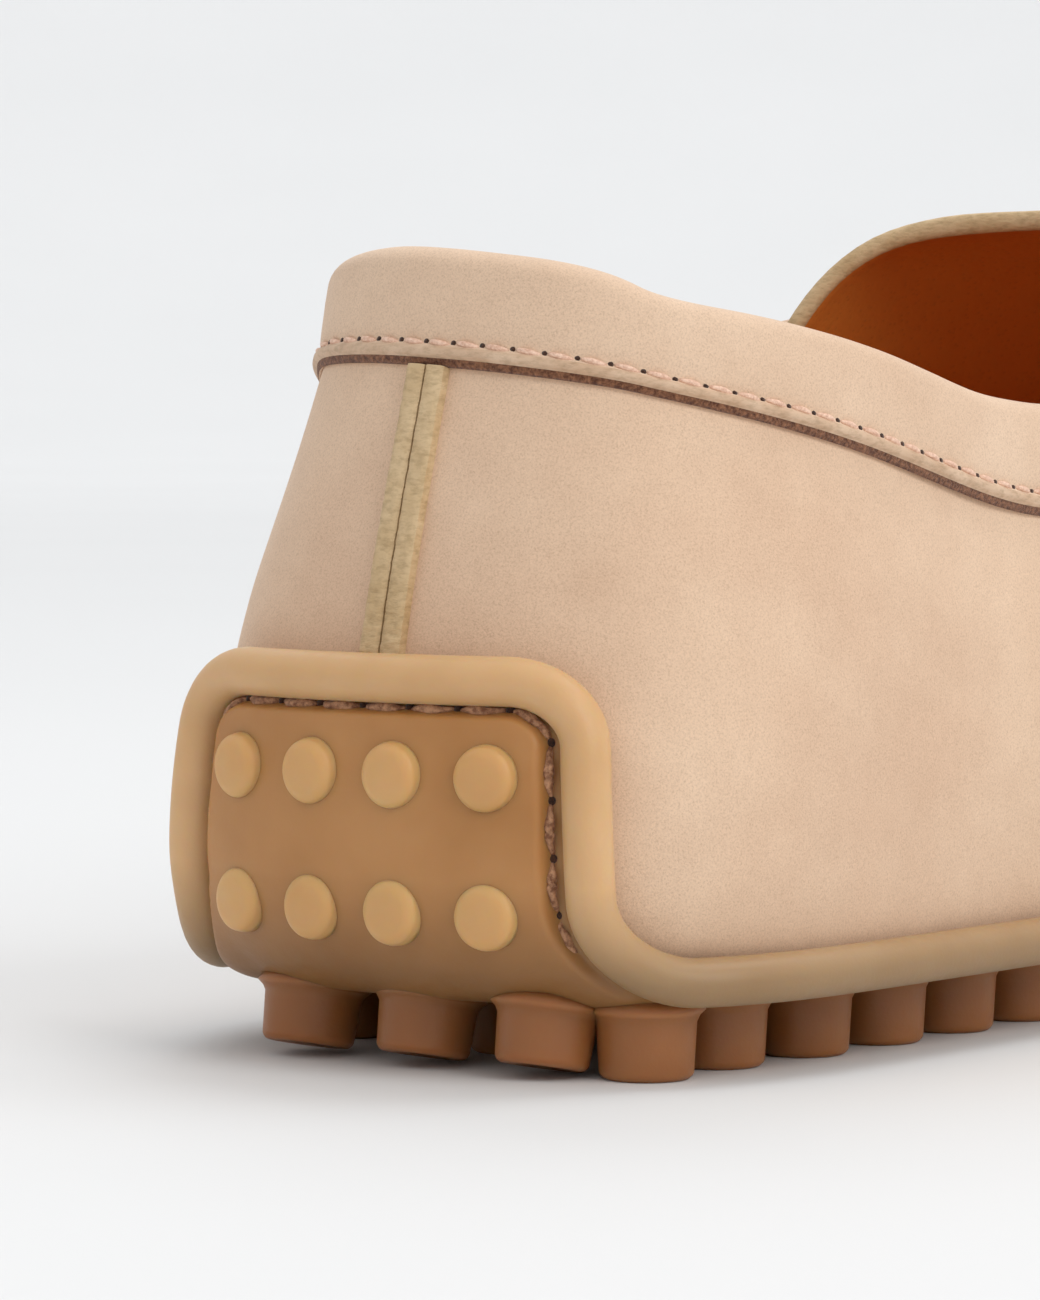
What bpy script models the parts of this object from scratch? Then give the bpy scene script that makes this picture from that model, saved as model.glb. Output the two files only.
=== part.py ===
"""Driving moccasin, right shoe: CAD solids in metres, +Z up, toe along +Y, outer side at +X.

The origin is on the floor, under the middle of the heel seat's centre stud.
"""
import math

import bmesh
import bpy
import numpy as np
from mathutils import Matrix, Vector

# Driving sizes of the last
LENGTH = 0.285
BALL_WIDTH = 0.098
BACK_HEIGHT = 0.0683
HEEL_SEAT = 0.020          # back of the last to the origin, along the foot

# Leather
WALL = 0.002
GAP = 0.0003
COLLAR_THICKNESS = 0.0012
COLLAR_DROP = 0.0080       # topline down to the collar's lower lip
COLLAR_NARROWING = 0.0011  # how much less it is at the heel's corners
NARROW_AT = 0.027          # along the feather line from the heel's middle
NARROW_REACH = 0.016
COLLAR_RISE = 0.0018       # collar over the wall's top edge
COLLAR_BENDS = (1.00, 0.55, 0.20)  # shares of the collar's drop at which it bends
COLLAR_END = 0.04          # share of a section row between the collar and the throat corner
STRIP_WIDTH = 0.0017
STRIP_THICKNESS = 0.0010
SEAM_WIDTH = 0.0034
SEAM_HEIGHT = 0.0017
SEAM_LIFT = 0.0012         # seam's flat side over the apron's edge
SEAM_START = 0.05          # share of a section row between the collar's end and the seam
SEAM_AIM = 0.8             # share of the apron's half width that the seam leans toward
SEAM_TOE = 0.5             # section rows before the toe where that aim stays
INSOLE_THICKNESS = 0.0025

# Rubber
STUD_HEIGHT = 0.0059
BASE_THICKNESS = 0.0018
RIM_RADIUS = 0.0021
RIM_OFFSET = 0.0027        # rim centre line out from the leather
RIM_DROP = 0.0026          # rim centre line above the underside of the base
BASE_WALL = 0.0008         # base's side wall over the rim's centre line
PANEL_THICKNESS = 0.0032
PATCH_TOP = 0.0337         # height of the rim's centre line over the heel panel
PATCH_HALF = 0.0173        # half width of the panel frame, along the feather line
PATCH_LEAN = 0.0004        # how much narrower the frame is at its top
PATCH_TOP_RADIUS = 0.0055
PATCH_FOOT_RADIUS = 0.0075
STUD_RADIUS = 0.00435
STUD_TAPER = 0.93
STUD_PITCH = 0.0112
STUD_ROW_PITCH = 0.0124
REAR_STUD_PITCH = 0.0129
REAR_STUD_TILT = math.radians(12)
REAR_STUD_LINE = 0.0069    # rear row from the back of the last
CORNER_STUD = (0.0200, 0.0122)  # across and along of the stud at the outer heel corner
FIRST_EDGE_STUD = 0.0216   # along, where the outer row starts
LAST_EDGE_STUD = 0.0195    # along, where the inner row ends
EDGE_STUD_INSET = 0.0060   # stud centres inside the feather line
STUD_CLEARANCE = 0.0016
STUD_ROOT = 0.0011         # how deep a stud stands in the base
SLOPE_REACH = 0.0010       # half the stretch over which the sole's slope is read
WAIST = (0.30, 0.47)       # shares of the length with edge studs alone
PANEL_STUD_RADIUS = 0.00275
PANEL_STUD_HEIGHT = 0.0013
PANEL_STUD_PITCH = 0.0070
PANEL_STUD_ROWS = (0.0142, 0.0257)
PANEL_STUD_COLUMNS = (-1.5, -0.5, 0.5, 1.5)  # in pitches from the heel's middle
PANEL_STUD_ROOT = 0.0013   # how deep a panel stud stands in the panel

# Stance
ARCH_LIFT = 0.0012
ARCH_SHARES = (0.27, 0.52)   # shares of the length
TOE_SPRING = 0.0090
SPRING_START = 0.73

# Shape of the wall's curve: its turn at the foot, its upright stretch and its run to the top
FOOT_TURN = np.array((0.60, 0.15))
FOOT_UPRIGHT = np.array((1.00, 0.55))
UPRIGHT_REACH = 0.36
TOP_REACH = 0.30

# Shape of the sole's base
PANEL_ROLL = 0.0105        # height of the roll from the heel panel into the base
PANEL_ROLL_REACH = 0.0105
SIDE_ROLL = 0.0045
PANEL_SINK = 0.0010        # how deep the panel stands in the base

# Steps of the faceted solids
STATIONS_PER_ROW = (4, 4, 3, 4, 3, 3, 3, 3, 4)
PROFILE_STEPS = 10
APRON_STEPS = 10
FOLD_STEPS = 4
STRIP_STEPS = 8
SEAM_STEPS = 5
ROLL_STEPS = 3
WALL_STEPS = 8
PANEL_STEPS = 8
PANEL_COLUMNS = 14
STUD_SIDES = 8
STUD_TURN = math.radians(9)
RIM_SIDES_RESOLUTION = 2
RIM_TOP_STEPS = 4
RIM_CORNER_STEPS = 4
RIM_SIDE_STEPS = 4
RIM_FOOT_STEPS = 5
OUTLINE_SAMPLES = 400
SHARP_EDGE = math.radians(40)
MERGE_DISTANCE = 1e-6

# Sections round the last, from the heel's middle up the outer side to the toe,
# then back down the inner side. along is a share of LENGTH, across of BALL_WIDTH;
# belly, inset and top are shares of BACK_HEIGHT: how far the wall swells out past
# the feather line, how far its top edge lies inside that line, and how high it is.
# lean is the wall's slope at its top edge, in degrees from upright.
COLUMNS = ("along", "across", "belly", "belly_height", "inset", "top", "lean")
SECTIONS = (
    (0.021, 0.000, 0.086, 0.27, 0.064, 0.998, 12),
    (0.040, 0.214, 0.062, 0.28, 0.095, 0.949, 12),
    (0.119, 0.273, 0.036, 0.32, 0.047, 0.892, 12),
    (0.245, 0.278, 0.047, 0.36, 0.022, 0.803, 12),
    (0.361, 0.306, 0.074, 0.42, -0.016, 0.925, 26),
    (0.491, 0.367, 0.089, 0.36, 0.175, 0.840, 52),
    (0.632, 0.444, 0.074, 0.30, 0.250, 0.655, 60),
    (0.754, 0.418, 0.070, 0.28, 0.250, 0.550, 62),
    (0.877, 0.296, 0.070, 0.26, 0.225, 0.470, 60),
    (0.968, -0.051, 0.066, 0.25, 0.250, 0.415, 58),
    (0.895, -0.347, 0.070, 0.26, 0.215, 0.470, 60),
    (0.779, -0.423, 0.076, 0.28, 0.230, 0.555, 62),
    (0.667, -0.428, 0.081, 0.30, 0.225, 0.650, 60),
    (0.509, -0.337, 0.103, 0.36, 0.120, 0.830, 50),
    (0.361, -0.281, 0.089, 0.42, -0.053, 0.895, 24),
    (0.245, -0.265, 0.059, 0.36, 0.012, 0.790, 12),
    (0.119, -0.271, 0.038, 0.32, 0.047, 0.885, 12),
    (0.040, -0.214, 0.074, 0.28, 0.098, 0.975, 12),
)
TOE_ROW = 9
THROAT_ROW = 4

# The apron over the instep, from the throat to the toe: rise of its middle over
# its edges as a share of BACK_HEIGHT, how far its middle bows forward as a share
# of LENGTH, and how square its arch is, in that order.
APRON = (
    (0.188, 0.032, 5.4),
    (0.120, 0.010, 3.0),
    (0.088, 0.004, 2.5),
    (0.060, 0.002, 2.3),
    (0.032, 0.000, 2.2),
    (0.000, 0.000, 2.2),
)

FEATHER_HEIGHT = STUD_HEIGHT + BASE_THICKNESS + GAP


def smooth_step(value, start, end):
    """Ease from 0 at start to 1 at end."""
    share = min(max((value - start) / (end - start), 0.0), 1.0)
    return share * share * (3 - 2 * share)


def spring_lift(along):
    """Height of the sole over its flat plane, at a share of the length."""
    arch_start, arch_end = ARCH_SHARES
    arch_share = min(max((along - arch_start) / (arch_end - arch_start), 0.0), 1.0)
    arch = ARCH_LIFT * math.sin(math.pi * arch_share) ** 2
    spring_share = max(along - SPRING_START, 0.0) / (1 - SPRING_START)
    return arch + TOE_SPRING * spring_share ** 2


def place(across, along, height):
    """Point of the shoe, with the arch and toe spring added to its height."""
    lift = spring_lift(along / LENGTH)
    return Vector((across, along - HEEL_SEAT, height + lift))


def periodic_spline(knots, values, period):
    """Second derivatives of a closed cubic spline through the values."""
    count = len(values)
    gaps = [(knots[(i + 1) % count] - knots[i]) % period for i in range(count)]
    matrix = np.zeros((count, count))
    right = np.zeros((count, values.shape[1]))
    for i in range(count):
        before = (i - 1) % count
        after = (i + 1) % count
        matrix[i, before] += gaps[before] / 6
        matrix[i, i] += (gaps[before] + gaps[i]) / 3
        matrix[i, after] += gaps[i] / 6
        right[i] = (values[after] - values[i]) / gaps[i] - (values[i] - values[before]) / gaps[before]
    return gaps, np.linalg.solve(matrix, right)


def bezier(start, first, last, end, steps):
    """Points along a cubic curve."""
    share = np.linspace(0, 1, steps + 1)[:, None]
    rest = 1 - share
    near = rest ** 3 * start + 3 * rest ** 2 * share * first
    return near + 3 * rest * share ** 2 * last + share ** 3 * end


class Last:
    """The upper's outer form, read from the sections."""

    def __init__(self):
        rows = np.array(SECTIONS)
        scales = (LENGTH, BALL_WIDTH, BACK_HEIGHT, BACK_HEIGHT, BACK_HEIGHT, BACK_HEIGHT, 1.0)
        self.values = rows * np.array(scales)
        steps = np.diff(np.vstack([self.values[:, :2], self.values[:1, :2]]), axis=0)
        chords = np.linalg.norm(steps, axis=1)
        self.knots = np.concatenate([[0.0], np.cumsum(chords)[:-1]])
        self.period = float(chords.sum())
        self.gaps, self.bends = periodic_spline(self.knots, self.values, self.period)

    def param(self, side, station):
        """Distance round the outline of a station, 0 at the heel and TOE_ROW at the toe."""
        position = station if side > 0 else len(SECTIONS) - station
        row = min(int(position), len(SECTIONS) - 1)
        return self.knots[row] + (position - row) * self.gaps[row]

    def read(self, param):
        """Section values and their slopes at a distance round the outline."""
        param = param % self.period
        row = int(np.searchsorted(self.knots, param, side="right")) - 1
        after = (row + 1) % len(self.knots)
        gap = self.gaps[row]
        b = (param - self.knots[row]) / gap
        a = 1 - b
        bend = ((a ** 3 - a) * self.bends[row] + (b ** 3 - b) * self.bends[after]) * gap ** 2 / 6
        value = a * self.values[row] + b * self.values[after] + bend
        turn = (3 * b * b - 1) * self.bends[after] - (3 * a * a - 1) * self.bends[row]
        slope = (self.values[after] - self.values[row]) / gap + turn * gap / 6
        return value, slope

    def profile(self, param):
        """Feather point, outward direction and the wall's curve as (out, height) points."""
        value, slope = self.read(param)
        section = dict(zip(COLUMNS, value))
        outward = np.array((slope[0], -slope[1]))
        outward /= np.linalg.norm(outward)
        foot = np.array((section["across"], section["along"]))
        belly = section["belly"]
        belly_height = max(section["belly_height"], FEATHER_HEIGHT + RIM_RADIUS)
        bottom = np.array((0.0, FEATHER_HEIGHT))
        swell = np.array((belly, belly_height - FEATHER_HEIGHT))
        start = bottom + swell
        turn = bottom + swell * FOOT_TURN
        upright = bottom + swell * FOOT_UPRIGHT
        lower = bezier(bottom, turn, upright, start, PROFILE_STEPS)[:-1]
        top = np.array((-section["inset"], section["top"]))
        lean = math.radians(section["lean"])
        rise = section["top"] - belly_height
        reach = rise * UPRIGHT_REACH
        first = start + np.array((0.0, reach))
        run = math.hypot(belly + section["inset"], rise) * TOP_REACH
        last = top - run * np.array((-math.sin(lean), math.cos(lean)))
        upper = bezier(start, first, last, top, PROFILE_STEPS * 2)
        return foot, outward, np.vstack([lower, upper])


LAST = Last()


def curve_lengths(curve):
    """Running length along a curve of (out, height) points."""
    steps = np.linalg.norm(np.diff(curve, axis=0), axis=1)
    return np.concatenate([[0.0], np.cumsum(steps)])


def offset_curve(curve, offset):
    """The curve moved out along its normals."""
    runs = np.gradient(curve, axis=0)
    runs /= np.linalg.norm(runs, axis=1)[:, None]
    return curve + offset * np.column_stack([runs[:, 1], -runs[:, 0]])


def out_at(curve, height):
    """How far out a rising curve is at a height."""
    return float(np.interp(height, curve[:, 1], curve[:, 0]))


def wall_point(param, share=None, drop=None, height=None, offset=0.0):
    """Point on the wall at a share of its length, a drop below its top or a height."""
    foot, outward, curve = LAST.profile(param)
    moved = offset_curve(curve, offset)
    if height is not None:
        out = out_at(moved, height)
        level = height
    else:
        lengths = curve_lengths(curve)
        position = lengths[-1] * share if drop is None else lengths[-1] - drop
        out = np.interp(position, lengths, moved[:, 0])
        level = np.interp(position, lengths, moved[:, 1])
    spot = foot + outward * out
    return place(spot[0], spot[1], level)


def stations(first_row, last_row):
    """Station values from one section row to another."""
    values = []
    for row in range(first_row, last_row):
        count = STATIONS_PER_ROW[row]
        values += [row + step / count for step in range(count)]
    return values + [float(last_row)]


def loop_params():
    """Distances round the whole outline, outer side first, then the inner side."""
    outer = stations(0, TOE_ROW)
    params = [LAST.param(1, station) for station in outer]
    params += [LAST.param(-1, station) for station in reversed(outer[1:-1])]
    return params


def apron_point(station, across_share):
    """Point on the apron: across_share runs from -1 at the inner edge to 1 at the outer."""
    share = station - THROAT_ROW
    row = min(int(share), len(APRON) - 2)
    table = np.array(APRON)
    rise, bow, squareness = table[row] + (share - row) * (table[row + 1] - table[row])
    outer = wall_point(LAST.param(1, station), share=1.0)
    inner = wall_point(LAST.param(-1, station), share=1.0)
    middle = inner.lerp(outer, (across_share + 1) / 2)
    crown = 1 - abs(across_share) ** squareness
    bowed = 1 - across_share ** 2
    middle.z += rise * BACK_HEIGHT * crown
    middle.y += bow * LENGTH * bowed
    return middle


def new_material(name, colour, roughness):
    """Plain Principled material."""
    material = bpy.data.materials.new(name)
    material.use_nodes = True
    shader = material.node_tree.nodes["Principled BSDF"]
    shader.inputs["Base Color"].default_value = (*colour, 1.0)
    shader.inputs["Roughness"].default_value = roughness
    return material


def new_object(name, bm, collection, material):
    """Object from a bmesh, with faces turned outward and shaded smooth."""
    bmesh.ops.recalc_face_normals(bm, faces=bm.faces)
    mesh = bpy.data.meshes.new(name)
    bm.to_mesh(mesh)
    bm.free()
    mesh.materials.append(material)
    mesh.shade_smooth()
    mesh.set_sharp_from_angle(angle=SHARP_EDGE)
    item = bpy.data.objects.new(name, mesh)
    collection.objects.link(item)
    return item


def join_rings(bm, rings, closed):
    """Faces between rings of vertices; closed joins the last ring to the first."""
    count = len(rings)
    for index in range(count if closed else count - 1):
        one = rings[index]
        two = rings[(index + 1) % count]
        size = len(one)
        for i in range(size):
            j = (i + 1) % size
            bm.faces.new((one[i], one[j], two[j], two[i]))


def cap_ring(bm, ring):
    """Fill a loop round the shoe with cross strips from its outer to its inner side."""
    half = len(ring) // 2
    outer = ring[:half + 1]
    inner = [ring[0]] + [ring[-i] for i in range(1, half)] + [ring[half]]
    for i in range(half):
        corners = []
        for vertex in (outer[i], outer[i + 1], inner[i + 1], inner[i]):
            if vertex not in corners:
                corners.append(vertex)
        bm.faces.new(corners)


def make_upper(collection, material):
    """The leather wall round the foot and the apron over the toes, in one shell."""
    bm = bmesh.new()
    params = loop_params()
    rings = []
    for step in range(WALL_STEPS + 1):
        share = step / WALL_STEPS
        rings.append([bm.verts.new(wall_point(param, share=share)) for param in params])
    join_rings(bm, rings, closed=False)
    top = rings[-1]
    rows = stations(THROAT_ROW, TOE_ROW)
    first = len(stations(0, THROAT_ROW)) - 1
    shares = np.sin(np.linspace(-math.pi / 2, math.pi / 2, APRON_STEPS + 1)[1:-1])
    grid = []
    for index, station in enumerate(rows[:-1]):
        inner = top[-(first + index)]
        outer = top[first + index]
        middle = [bm.verts.new(apron_point(station, share)) for share in shares]
        grid.append([inner] + middle + [outer])
    for one, two in zip(grid, grid[1:]):
        for i in range(APRON_STEPS):
            bm.faces.new((one[i], one[i + 1], two[i + 1], two[i]))
    toe = top[first + len(rows) - 1]
    for i in range(APRON_STEPS):
        bm.faces.new((grid[-1][i], grid[-1][i + 1], toe))
    upper = new_object("upper", bm, collection, material)
    shell = upper.modifiers.new("wall", "SOLIDIFY")
    shell.thickness = WALL
    shell.offset = -1
    shell.use_even_offset = True
    return upper


def make_collar(collection, material):
    """The band folded over the topline, from one throat corner round to the other."""
    bm = bmesh.new()
    outer = stations(0, THROAT_ROW)[:-1] + [THROAT_ROW - COLLAR_END]
    params = [LAST.param(-1, station) for station in reversed(outer)]
    params += [LAST.param(1, station) for station in outer[1:]]
    inside = -(WALL + 2 * GAP)
    rings = []
    for param in params:
        fold = fold_section(param, GAP + COLLAR_THICKNESS, inside - COLLAR_THICKNESS, COLLAR_RISE)
        lining = fold_section(param, GAP, inside, GAP)
        rings.append([bm.verts.new(point) for point in fold + lining[::-1]])
    join_rings(bm, rings, closed=False)
    for ring in (rings[0], rings[-1]):
        count = len(ring)
        for i in range(count // 2 - 1):
            bm.faces.new((ring[i], ring[i + 1], ring[count - 2 - i], ring[count - 1 - i]))
    return new_object("collar_band", bm, collection, material)


def collar_drop(param):
    """Height of the collar's outer face, less at the heel's two corners."""
    distance = min(param % LAST.period, -param % LAST.period)
    return COLLAR_DROP - COLLAR_NARROWING * math.exp(-((distance - NARROW_AT) / NARROW_REACH) ** 2)


def fold_section(param, outside, inside, over):
    """Points down-up-over-down of a fold round the wall's top edge."""
    drops = [collar_drop(param) * bend for bend in COLLAR_BENDS]
    points = [wall_point(param, drop=drop, offset=outside) for drop in drops]
    middle = (outside + inside) / 2
    half = (outside - inside) / 2
    base = wall_point(param, share=1.0, offset=middle)
    side = wall_point(param, share=1.0, offset=outside) - base
    below = wall_point(param, drop=drops[-1], offset=middle)
    up = (base - below).normalized()
    side.normalize()
    for step in range(FOLD_STEPS + 1):
        angle = math.pi * step / FOLD_STEPS
        points.append(base + side * half * math.cos(angle) + up * over * math.sin(angle))
    points += [wall_point(param, drop=drop, offset=inside) for drop in reversed(drops)]
    return points


def make_heel_strip(name, side, collection, material):
    """One of the two raised edges that meet down the back of the heel."""
    bm = bmesh.new()
    top_drop = COLLAR_DROP + GAP
    foot_height = PATCH_TOP + RIM_RADIUS + GAP
    outside = GAP + STRIP_THICKNESS
    rings = []
    for step in range(STRIP_STEPS + 1):
        share = step / STRIP_STEPS
        ring = []
        for edge, offset in ((0, GAP), (1, GAP), (1, outside), (0, outside)):
            across = (GAP / 2 + edge * STRIP_WIDTH) * side
            low = wall_point(across, height=foot_height, offset=offset)
            high = wall_point(across, drop=top_drop, offset=offset)
            height = low.z + (high.z - low.z) * share
            ring.append(bm.verts.new(wall_point(across, height=height, offset=offset)))
        rings.append(ring)
    join_rings(bm, rings, closed=False)
    bm.faces.new(rings[0])
    bm.faces.new(rings[-1])
    return new_object(name, bm, collection, material)


def seam_frame(side, station):
    """Edge point of the apron, the direction across the seam toward the apron, and the way up."""
    param = LAST.param(side, station)
    edge = wall_point(param, share=1.0)
    from_wall = (edge - wall_point(param, drop=SEAM_WIDTH)).normalized()
    inner = apron_point(min(station, TOE_ROW - SEAM_TOE), side * SEAM_AIM)
    to_apron = (inner - edge).normalized()
    across = (from_wall + to_apron).normalized()
    ahead = wall_point(param + SEAM_WIDTH, share=1.0) - wall_point(param - SEAM_WIDTH, share=1.0)
    up = ahead.cross(across).normalized()
    return edge, across, up


def make_apron_seam(collection, material):
    """The raised seam round the apron, a half round bead on the upper."""
    bm = bmesh.new()
    outer = [THROAT_ROW + SEAM_START] + stations(THROAT_ROW, TOE_ROW)[1:]
    places = [(1, station) for station in outer] + [(-1, station) for station in reversed(outer[:-1])]
    rings = []
    for side, station in places:
        edge, across, up = seam_frame(side, station)
        ring = []
        for step in range(SEAM_STEPS + 1):
            angle = math.pi * step / SEAM_STEPS
            shift = across * math.cos(angle) * SEAM_WIDTH / 2
            ring.append(bm.verts.new(edge + shift + up * (SEAM_LIFT + SEAM_HEIGHT * math.sin(angle))))
        rings.append(ring)
    join_rings(bm, rings, closed=False)
    bm.faces.new(rings[0])
    bm.faces.new(rings[-1])
    return new_object("apron_seam", bm, collection, material)


def base_top():
    """Height of the base's side wall, inside the rim."""
    return STUD_HEIGHT + RIM_DROP + BASE_WALL


def roll_share(param):
    """1 where the heel panel rolls into the base, 0 along the sides."""
    distance = min(param % LAST.period, -param % LAST.period)
    return 1 - smooth_step(distance, PATCH_HALF - STUD_RADIUS, PATCH_HALF + STUD_RADIUS)


def roll_points(outside, share):
    """Roll from the sole's outer face into its underside, as (out, height) points."""
    side_middle = STUD_HEIGHT + RIM_DROP
    roll_height = side_middle + (PANEL_ROLL - RIM_DROP) * share
    out = out_at(outside, roll_height)
    reach = SIDE_ROLL + (PANEL_ROLL_REACH - SIDE_ROLL) * share
    angles = np.linspace(0, math.pi / 2, ROLL_STEPS + 1)
    outs = out - reach * (1 - np.cos(angles))
    heights = roll_height - (roll_height - STUD_HEIGHT) * np.sin(angles)
    return np.column_stack([outs, heights])


def sole_section(param):
    """Closed (out, height) section of the sole's base, from its upper face round to its underside."""
    foot, outward, curve = LAST.profile(param)
    share = roll_share(param)
    seat = STUD_HEIGHT + BASE_THICKNESS
    top = base_top()
    inside = offset_curve(curve, GAP)
    outside = offset_curve(curve, RIM_OFFSET + (PANEL_THICKNESS - RIM_OFFSET) * share)
    roll = roll_points(outside, share)
    section = [(inside[0][0], seat), (out_at(inside, top), top)]
    rising = roll[::-1]
    section.append((np.interp(top, rising[:, 1], rising[:, 0]), top))
    section += [tuple(point) for point in roll[1:] if point[1] < top - GAP]
    return foot, outward, section


def panel_face(curve):
    """Outer face of the heel panel from its roll upward, as (out, height) points."""
    outside = offset_curve(curve, PANEL_THICKNESS)
    roll = roll_points(outside, 1.0)[::-1]
    levels = np.linspace(roll[-1][1], PATCH_TOP, PANEL_STEPS + 1)[1:]
    wall = [(out_at(outside, level), level) for level in levels]
    return np.vstack([roll, wall])


def panel_column(share):
    """Points up the panel's inner face and down its outer one, at a share of its half width."""
    path = np.array(patch_path()[RIM_TOP_STEPS:])[::-1]
    top = base_top()
    inner = []
    outer = []
    for height in np.linspace(top, PATCH_TOP, PANEL_STEPS + 1):
        half = min(float(np.interp(height, path[:, 1], path[:, 0])), PATCH_HALF)
        foot, outward, curve = LAST.profile(share * half)
        inset = GAP if height == top else 0.0
        inner_spot = foot + outward * (out_at(offset_curve(curve, GAP), height) + inset)
        outer_spot = foot + outward * (out_at(panel_face(curve), height) - inset)
        inner.append(place(inner_spot[0], inner_spot[1], height))
        outer.append(place(outer_spot[0], outer_spot[1], height))
    sink = Vector((0.0, 0.0, PANEL_SINK))
    return [inner[0] - sink] + inner + outer[::-1] + [outer[0] - sink]


def make_base():
    """Base of the sole with its side wall, without panel, rim and studs."""
    bm = bmesh.new()
    columns = []
    for param in loop_params():
        foot, outward, section = sole_section(param)
        spots = [(foot + outward * out, height) for out, height in section]
        columns.append([bm.verts.new(place(spot[0], spot[1], height)) for spot, height in spots])
    rings = [list(ring) for ring in zip(*columns)]
    join_rings(bm, rings, closed=False)
    cap_ring(bm, rings[0])
    cap_ring(bm, rings[-1])
    return bm


def make_panel():
    """Heel panel, a shell up the back of the heel under the frame."""
    bm = bmesh.new()
    shares = np.linspace(-1, 1, PANEL_COLUMNS + 1)
    columns = [[bm.verts.new(point) for point in panel_column(share)] for share in shares]
    join_rings(bm, columns, closed=False)
    for column in (columns[0], columns[-1]):
        count = len(column)
        for i in range(count // 2 - 1):
            bm.faces.new((column[i], column[i + 1], column[count - 2 - i], column[count - 1 - i]))
    return bm


def patch_path():
    """Half of the rim's line over the heel panel, as (distance from the middle, height)."""
    side_height = STUD_HEIGHT + RIM_DROP
    half = []
    top_half = PATCH_HALF - PATCH_LEAN
    top_centre = np.array((top_half - PATCH_TOP_RADIUS, PATCH_TOP - PATCH_TOP_RADIUS))
    foot_centre = np.array((PATCH_HALF + PATCH_FOOT_RADIUS, side_height + PATCH_FOOT_RADIUS))
    for step in range(RIM_TOP_STEPS):
        half.append((top_centre[0] * step / RIM_TOP_STEPS, PATCH_TOP))
    for angle in np.linspace(math.pi / 2, 0, RIM_CORNER_STEPS + 1):
        turn = np.array((math.cos(angle), math.sin(angle)))
        half.append(tuple(top_centre + PATCH_TOP_RADIUS * turn))
    for step in range(1, RIM_SIDE_STEPS):
        share = step / RIM_SIDE_STEPS
        fall = (top_centre[1] - foot_centre[1]) * share
        half.append((top_half + PATCH_LEAN * share, top_centre[1] - fall))
    for angle in np.linspace(math.pi, math.pi * 3 / 2, RIM_FOOT_STEPS + 1):
        turn = np.array((math.cos(angle), math.sin(angle)))
        half.append(tuple(foot_centre + PATCH_FOOT_RADIUS * turn))
    return half


def rim_path():
    """Points of the rim's centre line: sides, then up and over the heel panel."""
    side_height = STUD_HEIGHT + RIM_DROP
    half = patch_path()
    start = half[-1][0] + STUD_RADIUS
    params = [param for param in loop_params() if start < param < LAST.period - start]
    path = half + [(param, side_height) for param in params]
    path += [(LAST.period - param, height) for param, height in reversed(half[1:])]
    return [wall_point(param, height=height, offset=RIM_OFFSET) for param, height in path]


def make_rim():
    """Rim as a closed round tube, made a mesh so that it can be joined to the sole."""
    curve = bpy.data.curves.new("rim_path", "CURVE")
    curve.dimensions = "3D"
    spline = curve.splines.new("POLY")
    points = rim_path()
    spline.points.add(len(points) - 1)
    for point, spot in zip(spline.points, points):
        point.co = (*spot, 1.0)
    spline.use_cyclic_u = True
    curve.bevel_depth = RIM_RADIUS
    curve.bevel_resolution = RIM_SIDES_RESOLUTION
    tube = bpy.data.objects.new("rim_curve", curve)
    bpy.context.scene.collection.objects.link(tube)
    graph = bpy.context.evaluated_depsgraph_get()
    mesh = bpy.data.meshes.new_from_object(tube.evaluated_get(graph))
    bpy.data.objects.remove(tube)
    bm = bmesh.new()
    bm.from_mesh(mesh)
    bpy.data.meshes.remove(mesh)
    bmesh.ops.remove_doubles(bm, verts=bm.verts, dist=MERGE_DISTANCE)
    return bm


def inset_loop():
    """Line of the edge studs, inside the feather line, as points (across, along)."""
    line = []
    for param in np.linspace(0, LAST.period, OUTLINE_SAMPLES, endpoint=False):
        foot, outward, _ = LAST.profile(param)
        line.append(foot - outward * EDGE_STUD_INSET)
    return np.array(line)


def edge_studs(line):
    """Studs a pitch apart along the edge, from the outer heel corner round to the inner one."""
    start = next(i for i, point in enumerate(line) if point[1] > FIRST_EDGE_STUD)
    end = max(i for i, point in enumerate(line) if point[1] > LAST_EDGE_STUD)
    run = line[start:end + 1]
    lengths = curve_lengths(run)
    count = int(round(lengths[-1] / STUD_PITCH))
    spots = np.linspace(0, lengths[-1], count + 1)
    return [np.array([np.interp(spot, lengths, run[:, i]) for i in (0, 1)]) for spot in spots]


def stud_layout():
    """Places of all the studs under the sole, as (across, along, tilt)."""
    line = inset_loop()
    edge = edge_studs(line)
    rear = [np.array((column * REAR_STUD_PITCH, REAR_STUD_LINE)) for column in (-1, 0, 1)]
    placed = edge + rear + [np.array(CORNER_STUD)]
    clear = 2 * STUD_RADIUS + STUD_CLEARANCE
    rows = int(LENGTH / STUD_ROW_PITCH)
    for row in range(rows):
        along = HEEL_SEAT + row * STUD_ROW_PITCH
        if WAIST[0] < along / LENGTH < WAIST[1]:
            continue
        near = [point for point in line if abs(point[1] - along) < STUD_RADIUS]
        if not near:
            continue
        inner = min(point[0] for point in near)
        outer = max(point[0] for point in near)
        middle = 0.0 if row == 0 else (inner + outer) / 2
        reach = int((outer - inner) / 2 / STUD_ROW_PITCH) + 1
        shift = STUD_ROW_PITCH / 2 if row % 2 else 0.0
        for column in range(-reach, reach + 1):
            spot = np.array((middle + shift + column * STUD_ROW_PITCH, along))
            inside = inner < spot[0] < outer
            if inside and all(np.linalg.norm(spot - other) > clear for other in placed):
                placed.append(spot)
    tilted = range(len(edge), len(edge) + len(rear))
    tilts = [REAR_STUD_TILT if index in tilted else 0.0 for index in range(len(placed))]
    return [(spot[0], spot[1], tilt) for spot, tilt in zip(placed, tilts)]


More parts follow.
